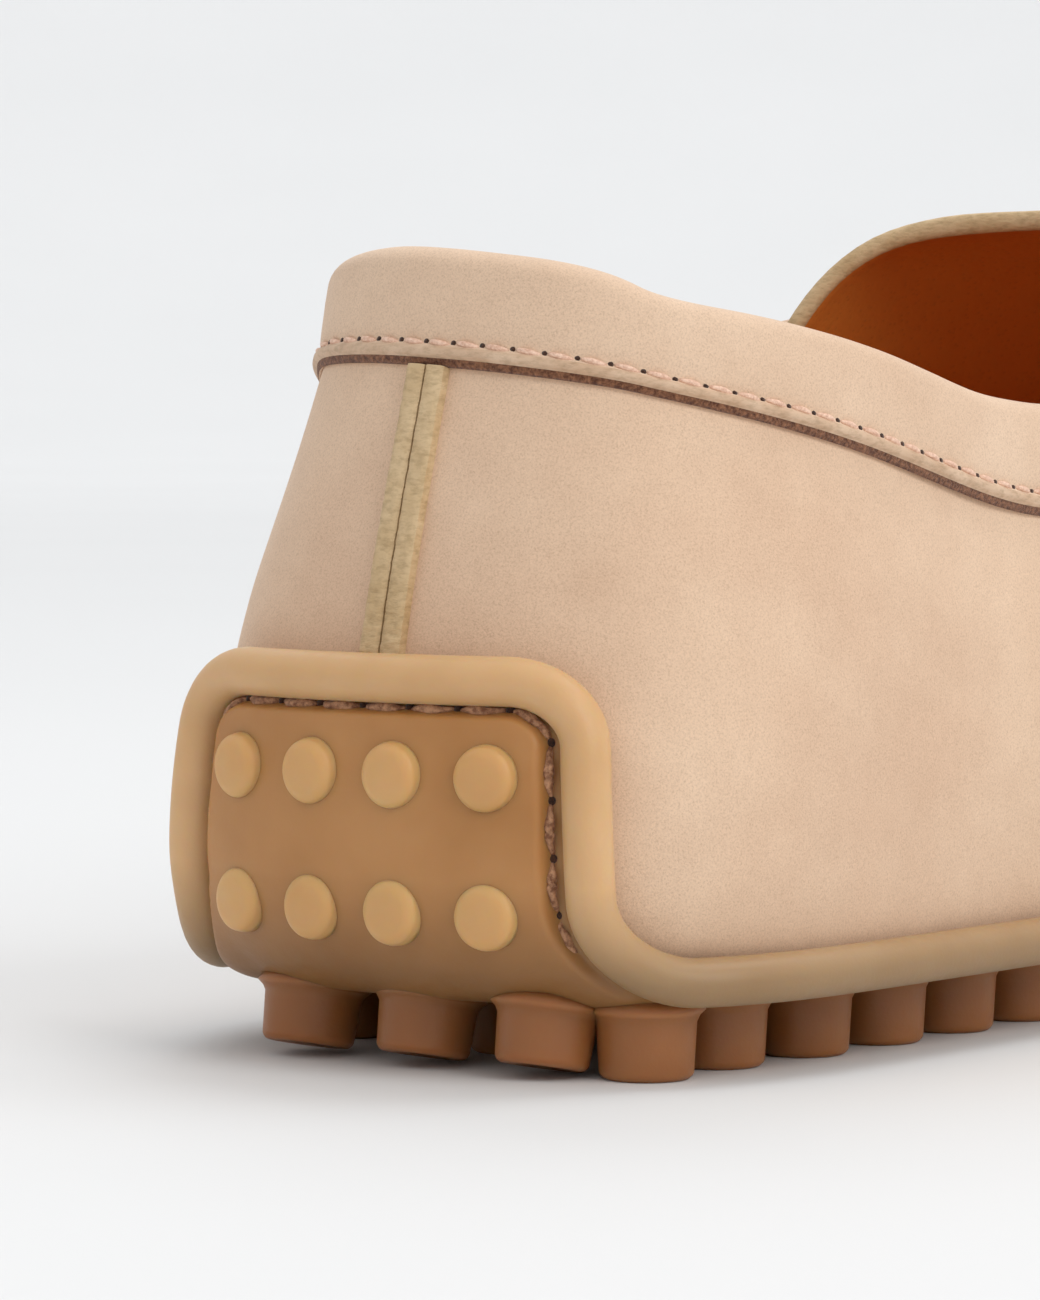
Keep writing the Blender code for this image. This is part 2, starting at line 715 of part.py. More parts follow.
def add_stud(bm, matrix, radius, length):
    """A closed stud whose root is at the matrix's origin and whose free end lies along its -Z."""
    middle = matrix @ Matrix.Translation((0, 0, -length / 2)) @ Matrix.Rotation(STUD_TURN, 4, "Z")
    bmesh.ops.create_cone(bm, cap_ends=True, segments=STUD_SIDES, radius1=radius * STUD_TAPER,
                          radius2=radius, depth=length, matrix=middle)


def make_studs():
    """Studs under the sole and on the heel panel."""
    bm = bmesh.new()
    reach = SLOPE_REACH
    for across, along, tilt in stud_layout():
        ahead = spring_lift((along + reach) / LENGTH)
        behind = spring_lift((along - reach) / LENGTH)
        angle = math.atan((ahead - behind) / (2 * reach)) - tilt
        rise = STUD_RADIUS * math.sin(abs(angle))
        foot = Matrix.Translation(place(across, along, rise)) @ Matrix.Rotation(angle, 4, "X")
        length = (STUD_HEIGHT + STUD_ROOT - rise) / math.cos(angle)
        add_stud(bm, foot @ Matrix.Translation((0, 0, length)), STUD_RADIUS, length)
    for height in PANEL_STUD_ROWS:
        for column in PANEL_STUD_COLUMNS:
            param = column * PANEL_STUD_PITCH
            root = wall_point(param, height=height, offset=PANEL_THICKNESS - PANEL_STUD_ROOT)
            tip = wall_point(param, height=height, offset=PANEL_THICKNESS + PANEL_STUD_HEIGHT)
            turn = (root - tip).to_track_quat("Z", "Y").to_matrix().to_4x4()
            add_stud(bm, Matrix.Translation(root) @ turn, PANEL_STUD_RADIUS, (root - tip).length)
    return bm


def make_outsole(collection, cutters, material):
    """The rubber sole in one moulding: base, panel, rim and studs joined."""
    outsole = new_object("outsole", make_base(), collection, material)
    forms = (("panel_form", make_panel), ("rim_form", make_rim), ("stud_form", make_studs))
    for name, make in forms:
        form = new_object(name, make(), cutters, material)
        form.hide_render = True
        form.display_type = "WIRE"
        union = outsole.modifiers.new(name, "BOOLEAN")
        union.operation = "UNION"
        union.solver = "MANIFOLD"
        union.object = form
    return outsole


def make_insole(collection, material):
    """The sock on the sole's upper face, inside the wall."""
    bm = bmesh.new()
    inset = WALL + 2 * GAP
    rings = []
    for height in (FEATHER_HEIGHT, FEATHER_HEIGHT + INSOLE_THICKNESS):
        ring = []
        for param in loop_params():
            foot, outward, _ = LAST.profile(param)
            spot = foot - outward * inset
            ring.append(bm.verts.new(place(spot[0], spot[1], height)))
        rings.append(ring)
    join_rings(bm, rings, closed=False)
    cap_ring(bm, rings[0])
    cap_ring(bm, rings[1])
    return new_object("insole", bm, collection, material)


def main():
    """Clear the scene and build the shoe."""
    for item in list(bpy.data.objects):
        bpy.data.objects.remove(item)
    scene = bpy.context.scene
    shoe = bpy.data.collections.new("driving_moccasin")
    cutters = bpy.data.collections.new("cutters")
    scene.collection.children.link(shoe)
    scene.collection.children.link(cutters)
    nubuck = new_material("nubuck", (0.69, 0.50, 0.36), 0.85)
    collar = new_material("collar_nubuck", (0.70, 0.52, 0.38), 0.85)
    painted_edge = new_material("painted_edge", (0.50, 0.40, 0.22), 0.7)
    seam = new_material("seam_nubuck", (0.66, 0.48, 0.34), 0.85)
    rubber = new_material("gum_rubber", (0.58, 0.35, 0.15), 0.5)
    lining = new_material("lining", (0.42, 0.16, 0.03), 0.6)
    make_outsole(shoe, cutters, rubber)
    make_upper(shoe, nubuck)
    make_collar(shoe, collar)
    make_heel_strip("heel_seam_outer", 1, shoe, painted_edge)
    make_heel_strip("heel_seam_inner", -1, shoe, painted_edge)
    make_apron_seam(shoe, seam)
    make_insole(shoe, lining)


main()
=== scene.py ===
"""Driving moccasin, right shoe: nubuck upper, folded collar, studded gum rubber sole."""
import math

import bmesh
import bpy
import numpy as np
from mathutils import Matrix, Vector, noise


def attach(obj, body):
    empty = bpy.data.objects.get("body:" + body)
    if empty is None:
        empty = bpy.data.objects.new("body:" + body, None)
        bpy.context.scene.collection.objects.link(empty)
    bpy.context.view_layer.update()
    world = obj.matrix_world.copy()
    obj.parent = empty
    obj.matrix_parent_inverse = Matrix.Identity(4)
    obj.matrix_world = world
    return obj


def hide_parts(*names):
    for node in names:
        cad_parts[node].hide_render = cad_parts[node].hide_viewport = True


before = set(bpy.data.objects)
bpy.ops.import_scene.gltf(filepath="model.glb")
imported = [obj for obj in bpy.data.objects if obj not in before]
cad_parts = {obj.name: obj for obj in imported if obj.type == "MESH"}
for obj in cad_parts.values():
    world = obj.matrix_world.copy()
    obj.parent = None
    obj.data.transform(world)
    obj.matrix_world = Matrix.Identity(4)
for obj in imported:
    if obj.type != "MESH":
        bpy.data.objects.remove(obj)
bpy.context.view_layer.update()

# Driving sizes, the same as the solids'
LENGTH = 0.285
BALL_WIDTH = 0.098
BACK_HEIGHT = 0.0683
HEEL_SEAT = 0.020
WALL = 0.002
GAP = 0.0003
COLLAR_THICKNESS = 0.0012
COLLAR_DROP = 0.0080
COLLAR_NARROWING = 0.0011
NARROW_AT = 0.027
NARROW_REACH = 0.016
COLLAR_END = 0.04
STRIP_WIDTH = 0.0017
STRIP_THICKNESS = 0.0010
SEAM_WIDTH = 0.0034
SEAM_HEIGHT = 0.0017
SEAM_LIFT = 0.0012
SEAM_START = 0.05
INSOLE_THICKNESS = 0.0025
STUD_HEIGHT = 0.0059
BASE_THICKNESS = 0.0018
RIM_RADIUS = 0.0021
RIM_OFFSET = 0.0027
RIM_DROP = 0.0026
PANEL_THICKNESS = 0.0032
PATCH_TOP = 0.0337
PATCH_HALF = 0.0173
PATCH_LEAN = 0.0004
PATCH_TOP_RADIUS = 0.0055
PATCH_FOOT_RADIUS = 0.0075
STUD_RADIUS = 0.00435
STUD_TAPER = 0.93
STUD_PITCH = 0.0112
STUD_ROW_PITCH = 0.0124
REAR_STUD_PITCH = 0.0129
REAR_STUD_TILT = math.radians(12)
EDGE_STUD_INSET = 0.0060
STUD_CLEARANCE = 0.0016
FIRST_EDGE_STUD = 0.0216
LAST_EDGE_STUD = 0.0195
CORNER_STUD = (0.0200, 0.0122)
REAR_STUD_LINE = 0.0069
WAIST = (0.30, 0.47)
PANEL_STUD_RADIUS = 0.00275
PANEL_STUD_HEIGHT = 0.0013
PANEL_STUD_PITCH = 0.0070
PANEL_STUD_ROWS = (0.0142, 0.0257)
ARCH_LIFT = 0.0012
ARCH_SHARES = (0.27, 0.52)
TOE_SPRING = 0.0090
SPRING_START = 0.73
FOOT_TURN = np.array((0.60, 0.15))
FOOT_UPRIGHT = np.array((1.00, 0.55))
UPRIGHT_REACH = 0.36
TOP_REACH = 0.30
PANEL_ROLL = 0.0105
PANEL_ROLL_REACH = 0.0105
SIDE_ROLL = 0.0045
FEATHER_HEIGHT = STUD_HEIGHT + BASE_THICKNESS + GAP
SIDE_HEIGHT = STUD_HEIGHT + RIM_DROP

# Sections round the last: shares of length, ball width and back height, and the top's lean in degrees
COLUMNS = ("along", "across", "belly", "belly_height", "inset", "top", "lean")
SECTIONS = (
    (0.021, 0.000, 0.086, 0.27, 0.064, 0.998, 12),
    (0.040, 0.214, 0.062, 0.28, 0.095, 0.949, 12),
    (0.119, 0.273, 0.036, 0.32, 0.047, 0.892, 12),
    (0.245, 0.278, 0.047, 0.36, 0.022, 0.803, 12),
    (0.361, 0.306, 0.074, 0.42, -0.016, 0.925, 26),
    (0.491, 0.367, 0.089, 0.36, 0.175, 0.840, 52),
    (0.632, 0.444, 0.074, 0.30, 0.250, 0.655, 60),
    (0.754, 0.418, 0.070, 0.28, 0.250, 0.550, 62),
    (0.877, 0.296, 0.070, 0.26, 0.225, 0.470, 60),
    (0.968, -0.051, 0.066, 0.25, 0.250, 0.415, 58),
    (0.895, -0.347, 0.070, 0.26, 0.215, 0.470, 60),
    (0.779, -0.423, 0.076, 0.28, 0.230, 0.555, 62),
    (0.667, -0.428, 0.081, 0.30, 0.225, 0.650, 60),
    (0.509, -0.337, 0.103, 0.36, 0.120, 0.830, 50),
    (0.361, -0.281, 0.089, 0.42, -0.053, 0.895, 24),
    (0.245, -0.265, 0.059, 0.36, 0.012, 0.790, 12),
    (0.119, -0.271, 0.038, 0.32, 0.047, 0.885, 12),
    (0.040, -0.214, 0.074, 0.28, 0.098, 0.975, 12),
)
TOE_ROW = 9
THROAT_ROW = 4

# The apron from throat to toe: rise over its edges, bow forward and squareness
APRON = (
    (0.188, 0.032, 5.4),
    (0.120, 0.010, 3.0),
    (0.088, 0.004, 2.5),
    (0.060, 0.002, 2.3),
    (0.032, 0.000, 2.2),
    (0.000, 0.000, 2.2),
)

# Steps of the shown meshes
STATIONS_PER_ROW = (20, 20, 26, 26, 26, 28, 24, 26, 30)
PROFILE_STEPS = 30
WALL_STEPS = 56
APRON_STEPS = 44

# Soft dents of the wall: side, along and height of the middle in metres, its half
# length and half width, how deep it is, and its turn in degrees
DENTS = (
    (1, 0.042, 0.019, 0.016, 0.0045, 0.00035, 8),
    (1, 0.066, 0.033, 0.022, 0.0080, -0.00030, -24),
    (1, 0.030, 0.040, 0.014, 0.0090, 0.00018, 60),
    (1, 0.078, 0.017, 0.014, 0.0040, 0.00035, -6),
    (1, 0.100, 0.040, 0.018, 0.0070, 0.00045, 48),
    (-1, 0.050, 0.021, 0.018, 0.0050, 0.00035, -8),
    (-1, 0.082, 0.036, 0.020, 0.0070, 0.00045, 38),
    (-1, 0.110, 0.024, 0.018, 0.0050, 0.00040, 12),
)

# Creases over the joint of the toes: station along the apron, depth and half width
CREASES = ((5.55, 0.00045, 0.0032), (6.05, 0.00060, 0.0036), (6.50, 0.00035, 0.0030))
STATION_LENGTH = 0.037

# Puckers of the wall under the apron seam, which grow in between two stations
PUCKER_PITCH = 0.0046
PUCKER_DEPTH = 0.00040
PUCKER_REACH = 0.011
PUCKER_STATIONS = (4.6, 6.2)

# Unevenness of soft surfaces: wave, depth, start of the pattern and its squeeze in height
UPPER_WAVES = ((0.016, 0.00022, 0.0, 1.0), (0.005, 0.00006, 0.5, 1.0))
COLLAR_WAVES = ((0.009, 0.00018, 0.0, 1.0),)
STRIP_WAVES = ((0.0016, 0.00009, 0.0, 2.2), (0.0007, 0.00004, 3.0, 3.0))

# The upper's cut edge at the throat
EDGE_STEPS = 6
EDGE_CROWN = 0.0006

# The collar's outer face from its lower lip up: drop below the top edge and offset from the wall
COLLAR_FACE = (
    (0.00870, 0.00035), (0.00835, 0.00060), (0.00800, 0.00070), (0.00790, 0.00100), (0.00768, 0.00120),
    (0.00730, 0.00122), (0.00700, 0.00108), (0.00675, 0.00078), (0.00650, 0.00072), (0.00610, 0.00086),
    (0.00540, 0.00104), (0.00430, 0.00118), (0.00290, 0.00130), (0.00160, 0.00142),
)
# Faces of that section, counted from the lip: the first are raw leather, deepened with painted shade under
# the lip, the next are pale cut edge
RAW_FACES = 2
LIP_FACES = 4
# The collar's tail inside the shoe: drop below the top edge and how much thinner it is
COLLAR_TAIL = ((0.0018, 0.0), (0.0040, 0.0), (0.0060, 0.0), (0.0074, 0.0002), (0.0080, 0.0006))
# The collar's back on the wall's outer side: drops below the top edge and offset from the wall
COLLAR_UNDER_DROPS = (0.0018, 0.0050, 0.0085)
COLLAR_UNDER = 0.00012
COLLAR_OVER = 0.0021
COLLAR_INSIDE = -(WALL + 2 * GAP + COLLAR_THICKNESS)
# Points of the section that are softly uneven: from this one to this many past the roll over the top
COLLAR_SOFT_START = 9
COLLAR_SOFT_PAST = 3
ARC_STEPS = 18

# The collar's stitches: place, size, and how each one sinks, arches, slants and wanders
STITCH_DROP = 0.00665
STITCH_OFFSET = 0.00092
STITCH_PITCH = 0.0029
STITCH_SHARE = 0.78
STITCH_RADIUS = 0.00025
STITCH_TIP = 0.45
STITCH_SINK = 0.00026
STITCH_ARCH = 0.00030
STITCH_SLANT = 0.00022
STITCH_WANDER = 0.00006
STITCH_STEPS = 8
STITCH_SIDES = 10
STITCH_HOLE_DEPTHS = (0.00045, 0.00014, 0.00010)
STITCH_HOLE_RADII = (0.00026, 0.00026, 0.00005)
WANDER_STEP = 1.7

# The painted edges down the back seam: foot on the rim as a share of its radius, and rounding
STRIP_FOOT = 0.4
STRIP_CROWN = 0.22
STRIP_SQUARENESS = 5
STRIP_STEPS = 150
STRIP_COLUMNS = 8
STRIP_SHARP = 50

# The sole's skin round the heel and the groove in it, by distance from the rim's centre line
SKIN_STEP = 0.00027
SKIN_HALF = 0.0300
SKIN_TUCK = 0.0011
GROOVE_START = 0.00228
GROOVE_END = 0.00315
GROOVE_DEPTH = 0.0017
LINE_END = 0.02
LINE_TOP_STEPS = 20
LINE_CORNER_STEPS = 15
LINE_SIDE_STEPS = 14
LINE_FOOT_STEPS = 20
ROLL_ROWS = 54
UP_ROWS = 68
CAP_STEPS = 16

# The rim, as an oval tube seated on the leather
RIM_SIDES = 28
RIM_HALF_DEPTH = 0.00235
RIM_SEAT = 0.00248
RIM_JOIN = 0.0006

# Shapes of the studs, as pairs of radius or flare against height or share of the height
EDGE_SAMPLES = 400
STUD_EDGE = 0.00075
STUD_EDGE_STEPS = 5
STUD_DISH = ((0.0008, 0.00012), (STUD_RADIUS * STUD_TAPER - 0.00165, 0.00008))
STUD_SIDE_SHARES = (0.3, 0.6, 0.8)
STUD_FLARE = ((0.0002, 0.92), (0.0007, 1.0))
STUD_ROOT = 0.0010
STUD_SIDES = 32
PANEL_STUD_FLARE = ((0.00014, -0.0006), (0.00010, 0.0), (0.0, 0.0003))
PANEL_STUD_EDGE = 0.0012
PANEL_STUD_DOME = 0.00015
PANEL_STUD_TIP = ((0.30, 0.00005), (0.10, 0.0))
PANEL_STUD_COLUMNS = (-1.5, -0.5, 0.5, 1.5)
PANEL_STUD_STEPS = 9
PANEL_STUD_SIDES = 48

# The thread in the groove: place, size, twist of its plies and the holes between its stitches
THREAD_INSET = 0.00247
THREAD_OFFSET = 0.00225
THREAD_PITCH = 0.0048
THREAD_SHARE = 0.88
THREAD_RADIUS = 0.00040
THREAD_TIP = 0.35
THREAD_FULLNESS = 0.6
THREAD_SINK = 0.0007
THREAD_TWIST = 3.2
THREAD_PLY = 0.20
THREAD_STEPS = 33
THREAD_SIDES = 18
THREAD_HOLE_DEPTHS = (-0.0012, -0.0004, -0.0002)
THREAD_HOLE_RADII = (0.00042, 0.00042, 0.00010)
THREAD_HOLE_SIDES = 12

# The apron's seam and the stitches looped over it
SEAM_AIM = 0.8
SEAM_TOE = 0.5
SEAM_STEP = 0.0008
SEAM_SIDES = 20
SEAM_NIP = 0.17
SEAM_CROWN = 0.95
SEAM_FOOT = 1.3
LOOP_TUCK = 0.25
LOOP_HEIGHT = 0.86
LOOP_WIDTH = 0.92
LOOP_RADIUS = 0.00034
LOOP_STEPS = 14
LOOP_SIDES = 8

# Rings of the insole: share of its thickness and inset from the wall
INSOLE_RINGS = ((0.0, 2 * GAP), (0.8, 2 * GAP), (1.0, 0.0014), (1.0, 0.004))
INSOLE_TOP_STEPS = 14
INSOLE_FOOT_STEPS = 2

# A short step for finding directions, and how close two points are to be one
PROBE = 0.001
MERGE_DISTANCE = 1e-7

# Ends of a grey scale
BLACK = (0, 0, 0)
WHITE = (1, 1, 1)

# Floor, light and camera
FLOOR_RINGS = ((0.5, 0.0), (1.5, 0.0))
FLOOR_RADIUS = 3.0
SWEEP_RADIUS = 3.0
SWEEP_STEPS = 24
FLOOR_SIDES = 96
ROOM_LIGHT = 0.82
SHOE_MIDDLE = (0.0, 0.03, 0.03)
# Soft boxes: name, place, aim, size in metres, power in watts and colour
LIGHTS = (
    ("key", (1.05, -0.12, 0.78), SHOE_MIDDLE, 0.7, 5.2, (1.0, 0.985, 0.965)),
    ("top", (0.20, 0.55, 1.15), SHOE_MIDDLE, 0.5, 2.8, (1.0, 1.0, 1.0)),
    ("backdrop", (-1.9, 2.4, 3.0), (-1.9, 2.4, 0.0), 2.4, 34.0, (1.0, 1.0, 1.0)),
)
CAMERA_AT = (0.2901, -0.3708, 0.0587)
CAMERA_TURN = 38.0
CAMERA_DIP = 2.86
CAMERA_REACH = (0.01, 50.0)
SENSOR_WIDTH = 36.0
LENS = 149.5


def smooth_step(value, start, end):
    """Ease from 0 at start to 1 at end."""
    share = np.clip((value - start) / (end - start), 0.0, 1.0)
    return share * share * (3 - 2 * share)


def spring_lift(along):
    """Height of the sole over its flat plane, at shares of the length."""
    arch_start, arch_end = ARCH_SHARES
    arch_share = np.clip((along - arch_start) / (arch_end - arch_start), 0.0, 1.0)
    spring_share = np.maximum(along - SPRING_START, 0.0) / (1 - SPRING_START)
    return ARCH_LIFT * np.sin(np.pi * arch_share) ** 2 + TOE_SPRING * spring_share ** 2


def place(spots, heights):
    """Points of the shoe, with the arch and toe spring added to their heights."""
    spots = np.atleast_2d(spots)
    lift = spring_lift(spots[:, 1] / LENGTH)
    return np.column_stack([spots[:, 0], spots[:, 1] - HEEL_SEAT, heights + lift])


def periodic_spline(knots, values, period):
    """Second derivatives of a closed cubic spline through the values."""
    count = len(values)
    gaps = [(knots[(i + 1) % count] - knots[i]) % period for i in range(count)]
    matrix = np.zeros((count, count))
    right = np.zeros((count, values.shape[1]))
    for i in range(count):
        before = (i - 1) % count
        after = (i + 1) % count
        matrix[i, before] += gaps[before] / 6
        matrix[i, i] += (gaps[before] + gaps[i]) / 3
        matrix[i, after] += gaps[i] / 6
        right[i] = (values[after] - values[i]) / gaps[i] - (values[i] - values[before]) / gaps[before]
    return gaps, np.linalg.solve(matrix, right)


def bezier(start, first, last, end, steps):
    """Points along a cubic curve."""
    share = np.linspace(0, 1, steps + 1)[:, None]
    rest = 1 - share
    near = rest ** 3 * start + 3 * rest ** 2 * share * first
    return near + 3 * rest * share ** 2 * last + share ** 3 * end


class Last:
    """The upper's outer form, read from the sections."""

    def __init__(self):
        rows = np.array(SECTIONS)
        scales = (LENGTH, BALL_WIDTH, BACK_HEIGHT, BACK_HEIGHT, BACK_HEIGHT, BACK_HEIGHT, 1.0)
        self.values = rows * np.array(scales)
        steps = np.diff(np.vstack([self.values[:, :2], self.values[:1, :2]]), axis=0)
        chords = np.linalg.norm(steps, axis=1)
        self.knots = np.concatenate([[0.0], np.cumsum(chords)[:-1]])
        self.period = float(chords.sum())
        self.gaps, self.bends = periodic_spline(self.knots, self.values, self.period)
        self.seen = {}

    def param(self, side, station):
        """Distance round the outline of a station, 0 at the heel and TOE_ROW at the toe."""
        position = station if side > 0 else len(SECTIONS) - station
        row = min(int(position), len(SECTIONS) - 1)
        return self.knots[row] + (position - row) * self.gaps[row]

    def read(self, param):
        """Section values and their slopes at a distance round the outline."""
        param = param % self.period
        row = int(np.searchsorted(self.knots, param, side="right")) - 1
        after = (row + 1) % len(self.knots)
        gap = self.gaps[row]
        b = (param - self.knots[row]) / gap
        a = 1 - b
        bend = ((a ** 3 - a) * self.bends[row] + (b ** 3 - b) * self.bends[after]) * gap ** 2 / 6
        value = a * self.values[row] + b * self.values[after] + bend
        turn = (3 * b * b - 1) * self.bends[after] - (3 * a * a - 1) * self.bends[row]
        return value, (self.values[after] - self.values[row]) / gap + turn * gap / 6

    def profile(self, param):
        """Feather point, outward direction and the wall's curve as (out, height) points."""
        if param not in self.seen:
            self.seen[param] = self.work_out(param)
        return self.seen[param]

    def work_out(self, param):
        """The profile at a distance round the outline."""
        value, slope = self.read(param)
        section = dict(zip(COLUMNS, value))
        outward = np.array((slope[0], -slope[1]))
        outward /= np.linalg.norm(outward)
        foot = np.array((section["across"], section["along"]))
        belly = section["belly"]
        belly_height = max(section["belly_height"], FEATHER_HEIGHT + RIM_RADIUS)
        bottom = np.array((0.0, FEATHER_HEIGHT))
        swell = np.array((belly, belly_height - FEATHER_HEIGHT))
        start = bottom + swell
        turns = (bottom + swell * FOOT_TURN, bottom + swell * FOOT_UPRIGHT)
        lower = bezier(bottom, *turns, start, PROFILE_STEPS)
        top = np.array((-section["inset"], section["top"]))
        lean = math.radians(section["lean"])
        rise = section["top"] - belly_height
        first = start + np.array((0.0, rise * UPRIGHT_REACH))
        run = math.hypot(belly + section["inset"], rise) * TOP_REACH
        last = top - run * np.array((-math.sin(lean), math.cos(lean)))
        upper = bezier(start, first, last, top, PROFILE_STEPS * 3)
        return foot, outward, np.vstack([lower[:-1], upper])


LAST = Last()


def curve_lengths(curve):
    """Running length along a curve."""
    steps = np.linalg.norm(np.diff(curve, axis=0), axis=1)
    return np.concatenate([[0.0], np.cumsum(steps)])


def curve_normals(curve):
    """Outward normals of a curve of (out, height) points."""
    runs = np.gradient(curve, axis=0)
    runs /= np.linalg.norm(runs, axis=1)[:, None]
    return np.column_stack([runs[:, 1], -runs[:, 0]])


def sample(table, lengths, positions):
    """Rows of a table read at positions along its running length."""
    return np.column_stack([np.interp(positions, lengths, column) for column in table.T])


def wall_points(param, positions, offsets):
    """Points on the wall at running lengths from its foot, moved out by the offsets."""
    foot, outward, curve = LAST.profile(param)
    lengths = curve_lengths(curve)
    spots = sample(curve, lengths, positions)
    spots = spots + sample(curve_normals(curve), lengths, positions) * np.reshape(offsets, (-1, 1))
    return place(foot + outward * spots[:, :1], spots[:, 1])


def wall_length(param):
    """Length of the wall's curve from foot to top."""
    return curve_lengths(LAST.profile(param)[2])[-1]


def outs_at(curve, offset, heights):
    """How far out the curve, moved out by an offset, is at some heights."""
    moved = curve + offset * curve_normals(curve)
    return np.interp(heights, moved[:, 1], moved[:, 0])


def wall_at(param, heights, offset):
    """Points on the wall at some heights, moved out by one offset."""
    foot, outward, curve = LAST.profile(param)
    heights = np.atleast_1d(heights)
    outs = outs_at(curve, offset, heights)
    return place(foot + outward * outs[:, None], heights)


def stations(first_row, last_row):
    """Station values from one section row to another."""
    values = []
    for row in range(first_row, last_row):
        count = STATIONS_PER_ROW[row]
        values += [row + step / count for step in range(count)]
    return values + [float(last_row)]


def loop_params():
    """Distances round the whole outline, outer side first, then the inner side."""
    outer = stations(0, TOE_ROW)
    params = [LAST.param(1, station) for station in outer]
    return params + [LAST.param(-1, station) for station in reversed(outer[1:-1])]


def apron_points(station, shares):
    """Points across the apron, shares from -1 at the inner edge to 1 at the outer."""
    place_along = station - THROAT_ROW
    row = min(int(place_along), len(APRON) - 2)
    table = np.array(APRON)
    rise, bow, squareness = table[row] + (place_along - row) * (table[row + 1] - table[row])
    ends = []
    for side in (1, -1):
        param = LAST.param(side, station)
        ends.append(wall_points(param, [wall_length(param)], [0.0])[0])
    points = ends[1] + (ends[0] - ends[1]) * (shares[:, None] + 1) / 2
    points[:, 2] += rise * BACK_HEIGHT * (1 - np.abs(shares) ** squareness)
    points[:, 1] += bow * LENGTH * (1 - shares ** 2)
    return points


def unit(vectors):
    """Vectors brought to length 1."""
    return vectors / np.linalg.norm(vectors, axis=-1, keepdims=True)


def top_point(param, drop, offset):
    """A point of the wall at a drop below its top edge, moved out by an offset."""
    return wall_points(param, [wall_length(param) - drop], [offset])[0]


def arc(centre, radius, start, end, steps):
    """Points round part of a circle."""
    angles = np.linspace(start, end, steps + 1)
    return centre + radius * np.column_stack([np.cos(angles), np.sin(angles)])


def grid_faces(columns, rows, closed, start=0):
    """Quads between columns of vertices that are stored one column after another."""
    across = np.arange(columns if closed else columns - 1)
    along = np.arange(rows - 1)
    one = (start + across[:, None] * rows + along).ravel()
    two = (start + ((across[:, None] + 1) % columns) * rows + along).ravel()
    return np.column_stack([one, two, two + 1, one + 1]).tolist()


def tube_faces(rings, sides, joined=False):
    """Quads of a tube of rings, each ring closed on itself, the last joined to the first or not."""
    faces = []
    for ring in range(rings if joined else rings - 1):
        one = ring * sides
        two = (ring + 1) % rings * sides
        for side in range(sides):
            after = (side + 1) % sides
            faces.append((one + side, one + after, two + after, two + side))
    return faces


def solid_faces(rings, sides):
    """Faces of a tube of rings with a face over each end."""
    last = (rings - 1) * sides
    ends = [tuple(range(sides))[::-1], tuple(range(last, last + sides))]
    return tube_faces(rings, sides) + ends


def new_mesh(name, vertices, faces):
    """A mesh from arrays."""
    mesh = bpy.data.meshes.new(name)
    mesh.from_pydata([tuple(map(float, point)) for point in vertices], [], faces)
    return mesh


def wind(mesh, merge):
    """Turn all faces of a mesh the same way, after joining points that are that close."""
    bm = bmesh.new()
    bm.from_mesh(mesh)
    if merge:
        bmesh.ops.remove_doubles(bm, verts=bm.verts, dist=merge)
    bmesh.ops.recalc_face_normals(bm, faces=bm.faces)
    bm.to_mesh(mesh)
    bm.free()


def new_piece(name, vertices, faces, materials, slot, replaced=(), marks=None, sharp=None):
    """A piece of the shoe that rides on its one body; marks are material numbers by face."""
    mesh = new_mesh(name, vertices, faces)
    for material in materials:
        mesh.materials.append(material)
    if marks is not None:
        mesh.polygons.foreach_set("material_index", np.array(marks, np.int32))
    wind(mesh, MERGE_DISTANCE)
    mesh.shade_smooth()
    if sharp is not None:
        mesh.set_sharp_from_angle(angle=math.radians(sharp))
    piece = bpy.data.objects.new(name, mesh)
    bpy.context.scene.collection.objects.link(piece)
    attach(piece, "root")
    if replaced:
        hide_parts(*replaced)


def tube(path, radii, sides, guide=(0.0, 0.0, 1.0)):
    """A closed tube along a path; radii has a number, or a row of one for each side, at each point."""
    path = np.asarray(path)
    runs = unit(np.gradient(path, axis=0))
    radii = np.broadcast_to(np.reshape(radii, (len(path), -1)), (len(path), sides))
    angles = 2 * math.pi * np.arange(sides) / sides
    rings = []
    for point, run, sizes in zip(path, runs, radii):
        up = unit(guide - run * run.dot(guide))
        side = np.cross(run, up)
        rings.append(point + np.outer(sizes * np.cos(angles), side) + np.outer(sizes * np.sin(angles), up))
    return np.vstack(rings), solid_faces(len(path), sides)


def lathe(profile, sides, matrix):
    """A turned form from (radius, height) points, closed at both ends."""
    vertices = []
    for radius, height in profile:
        for step in range(sides):
            angle = 2 * math.pi * step / sides
            vertices.append(matrix @ Vector((radius * math.cos(angle), radius * math.sin(angle), height)))
    return np.array([tuple(point) for point in vertices]), solid_faces(len(profile), sides)


def cap(vertices, faces, ring, steps):
    """Fill a loop round the shoe with strips from its outer to its inner side."""
    strips = []
    count = len(vertices)
    extra = []
    for index in range(len(ring) // 2 + 1):
        outer = ring[index]
        inner = ring[-index]
        if outer == inner:
            strips.append([outer] * (steps + 1))
            continue
        shares = np.arange(1, steps)[:, None] / steps
        extra.append(vertices[outer] + (vertices[inner] - vertices[outer]) * shares)
        strips.append([outer] + list(range(count, count + steps - 1)) + [inner])
        count += steps - 1
    for one, two in zip(strips, strips[1:]):
        for i in range(steps):
            corners = list(dict.fromkeys((one[i], one[i + 1], two[i + 1], two[i])))
            if len(corners) > 2:
                faces.append(tuple(corners))
    return np.vstack([vertices] + extra), faces


def gather(parts):
    """One list of vertices and faces from several."""
    vertices = []
    faces = []
    count = 0
    for points, corners in parts:
        vertices.append(points)
        faces += [tuple(vertex + count for vertex in face) for face in corners]
        count += len(points)
    return np.vstack(vertices), faces


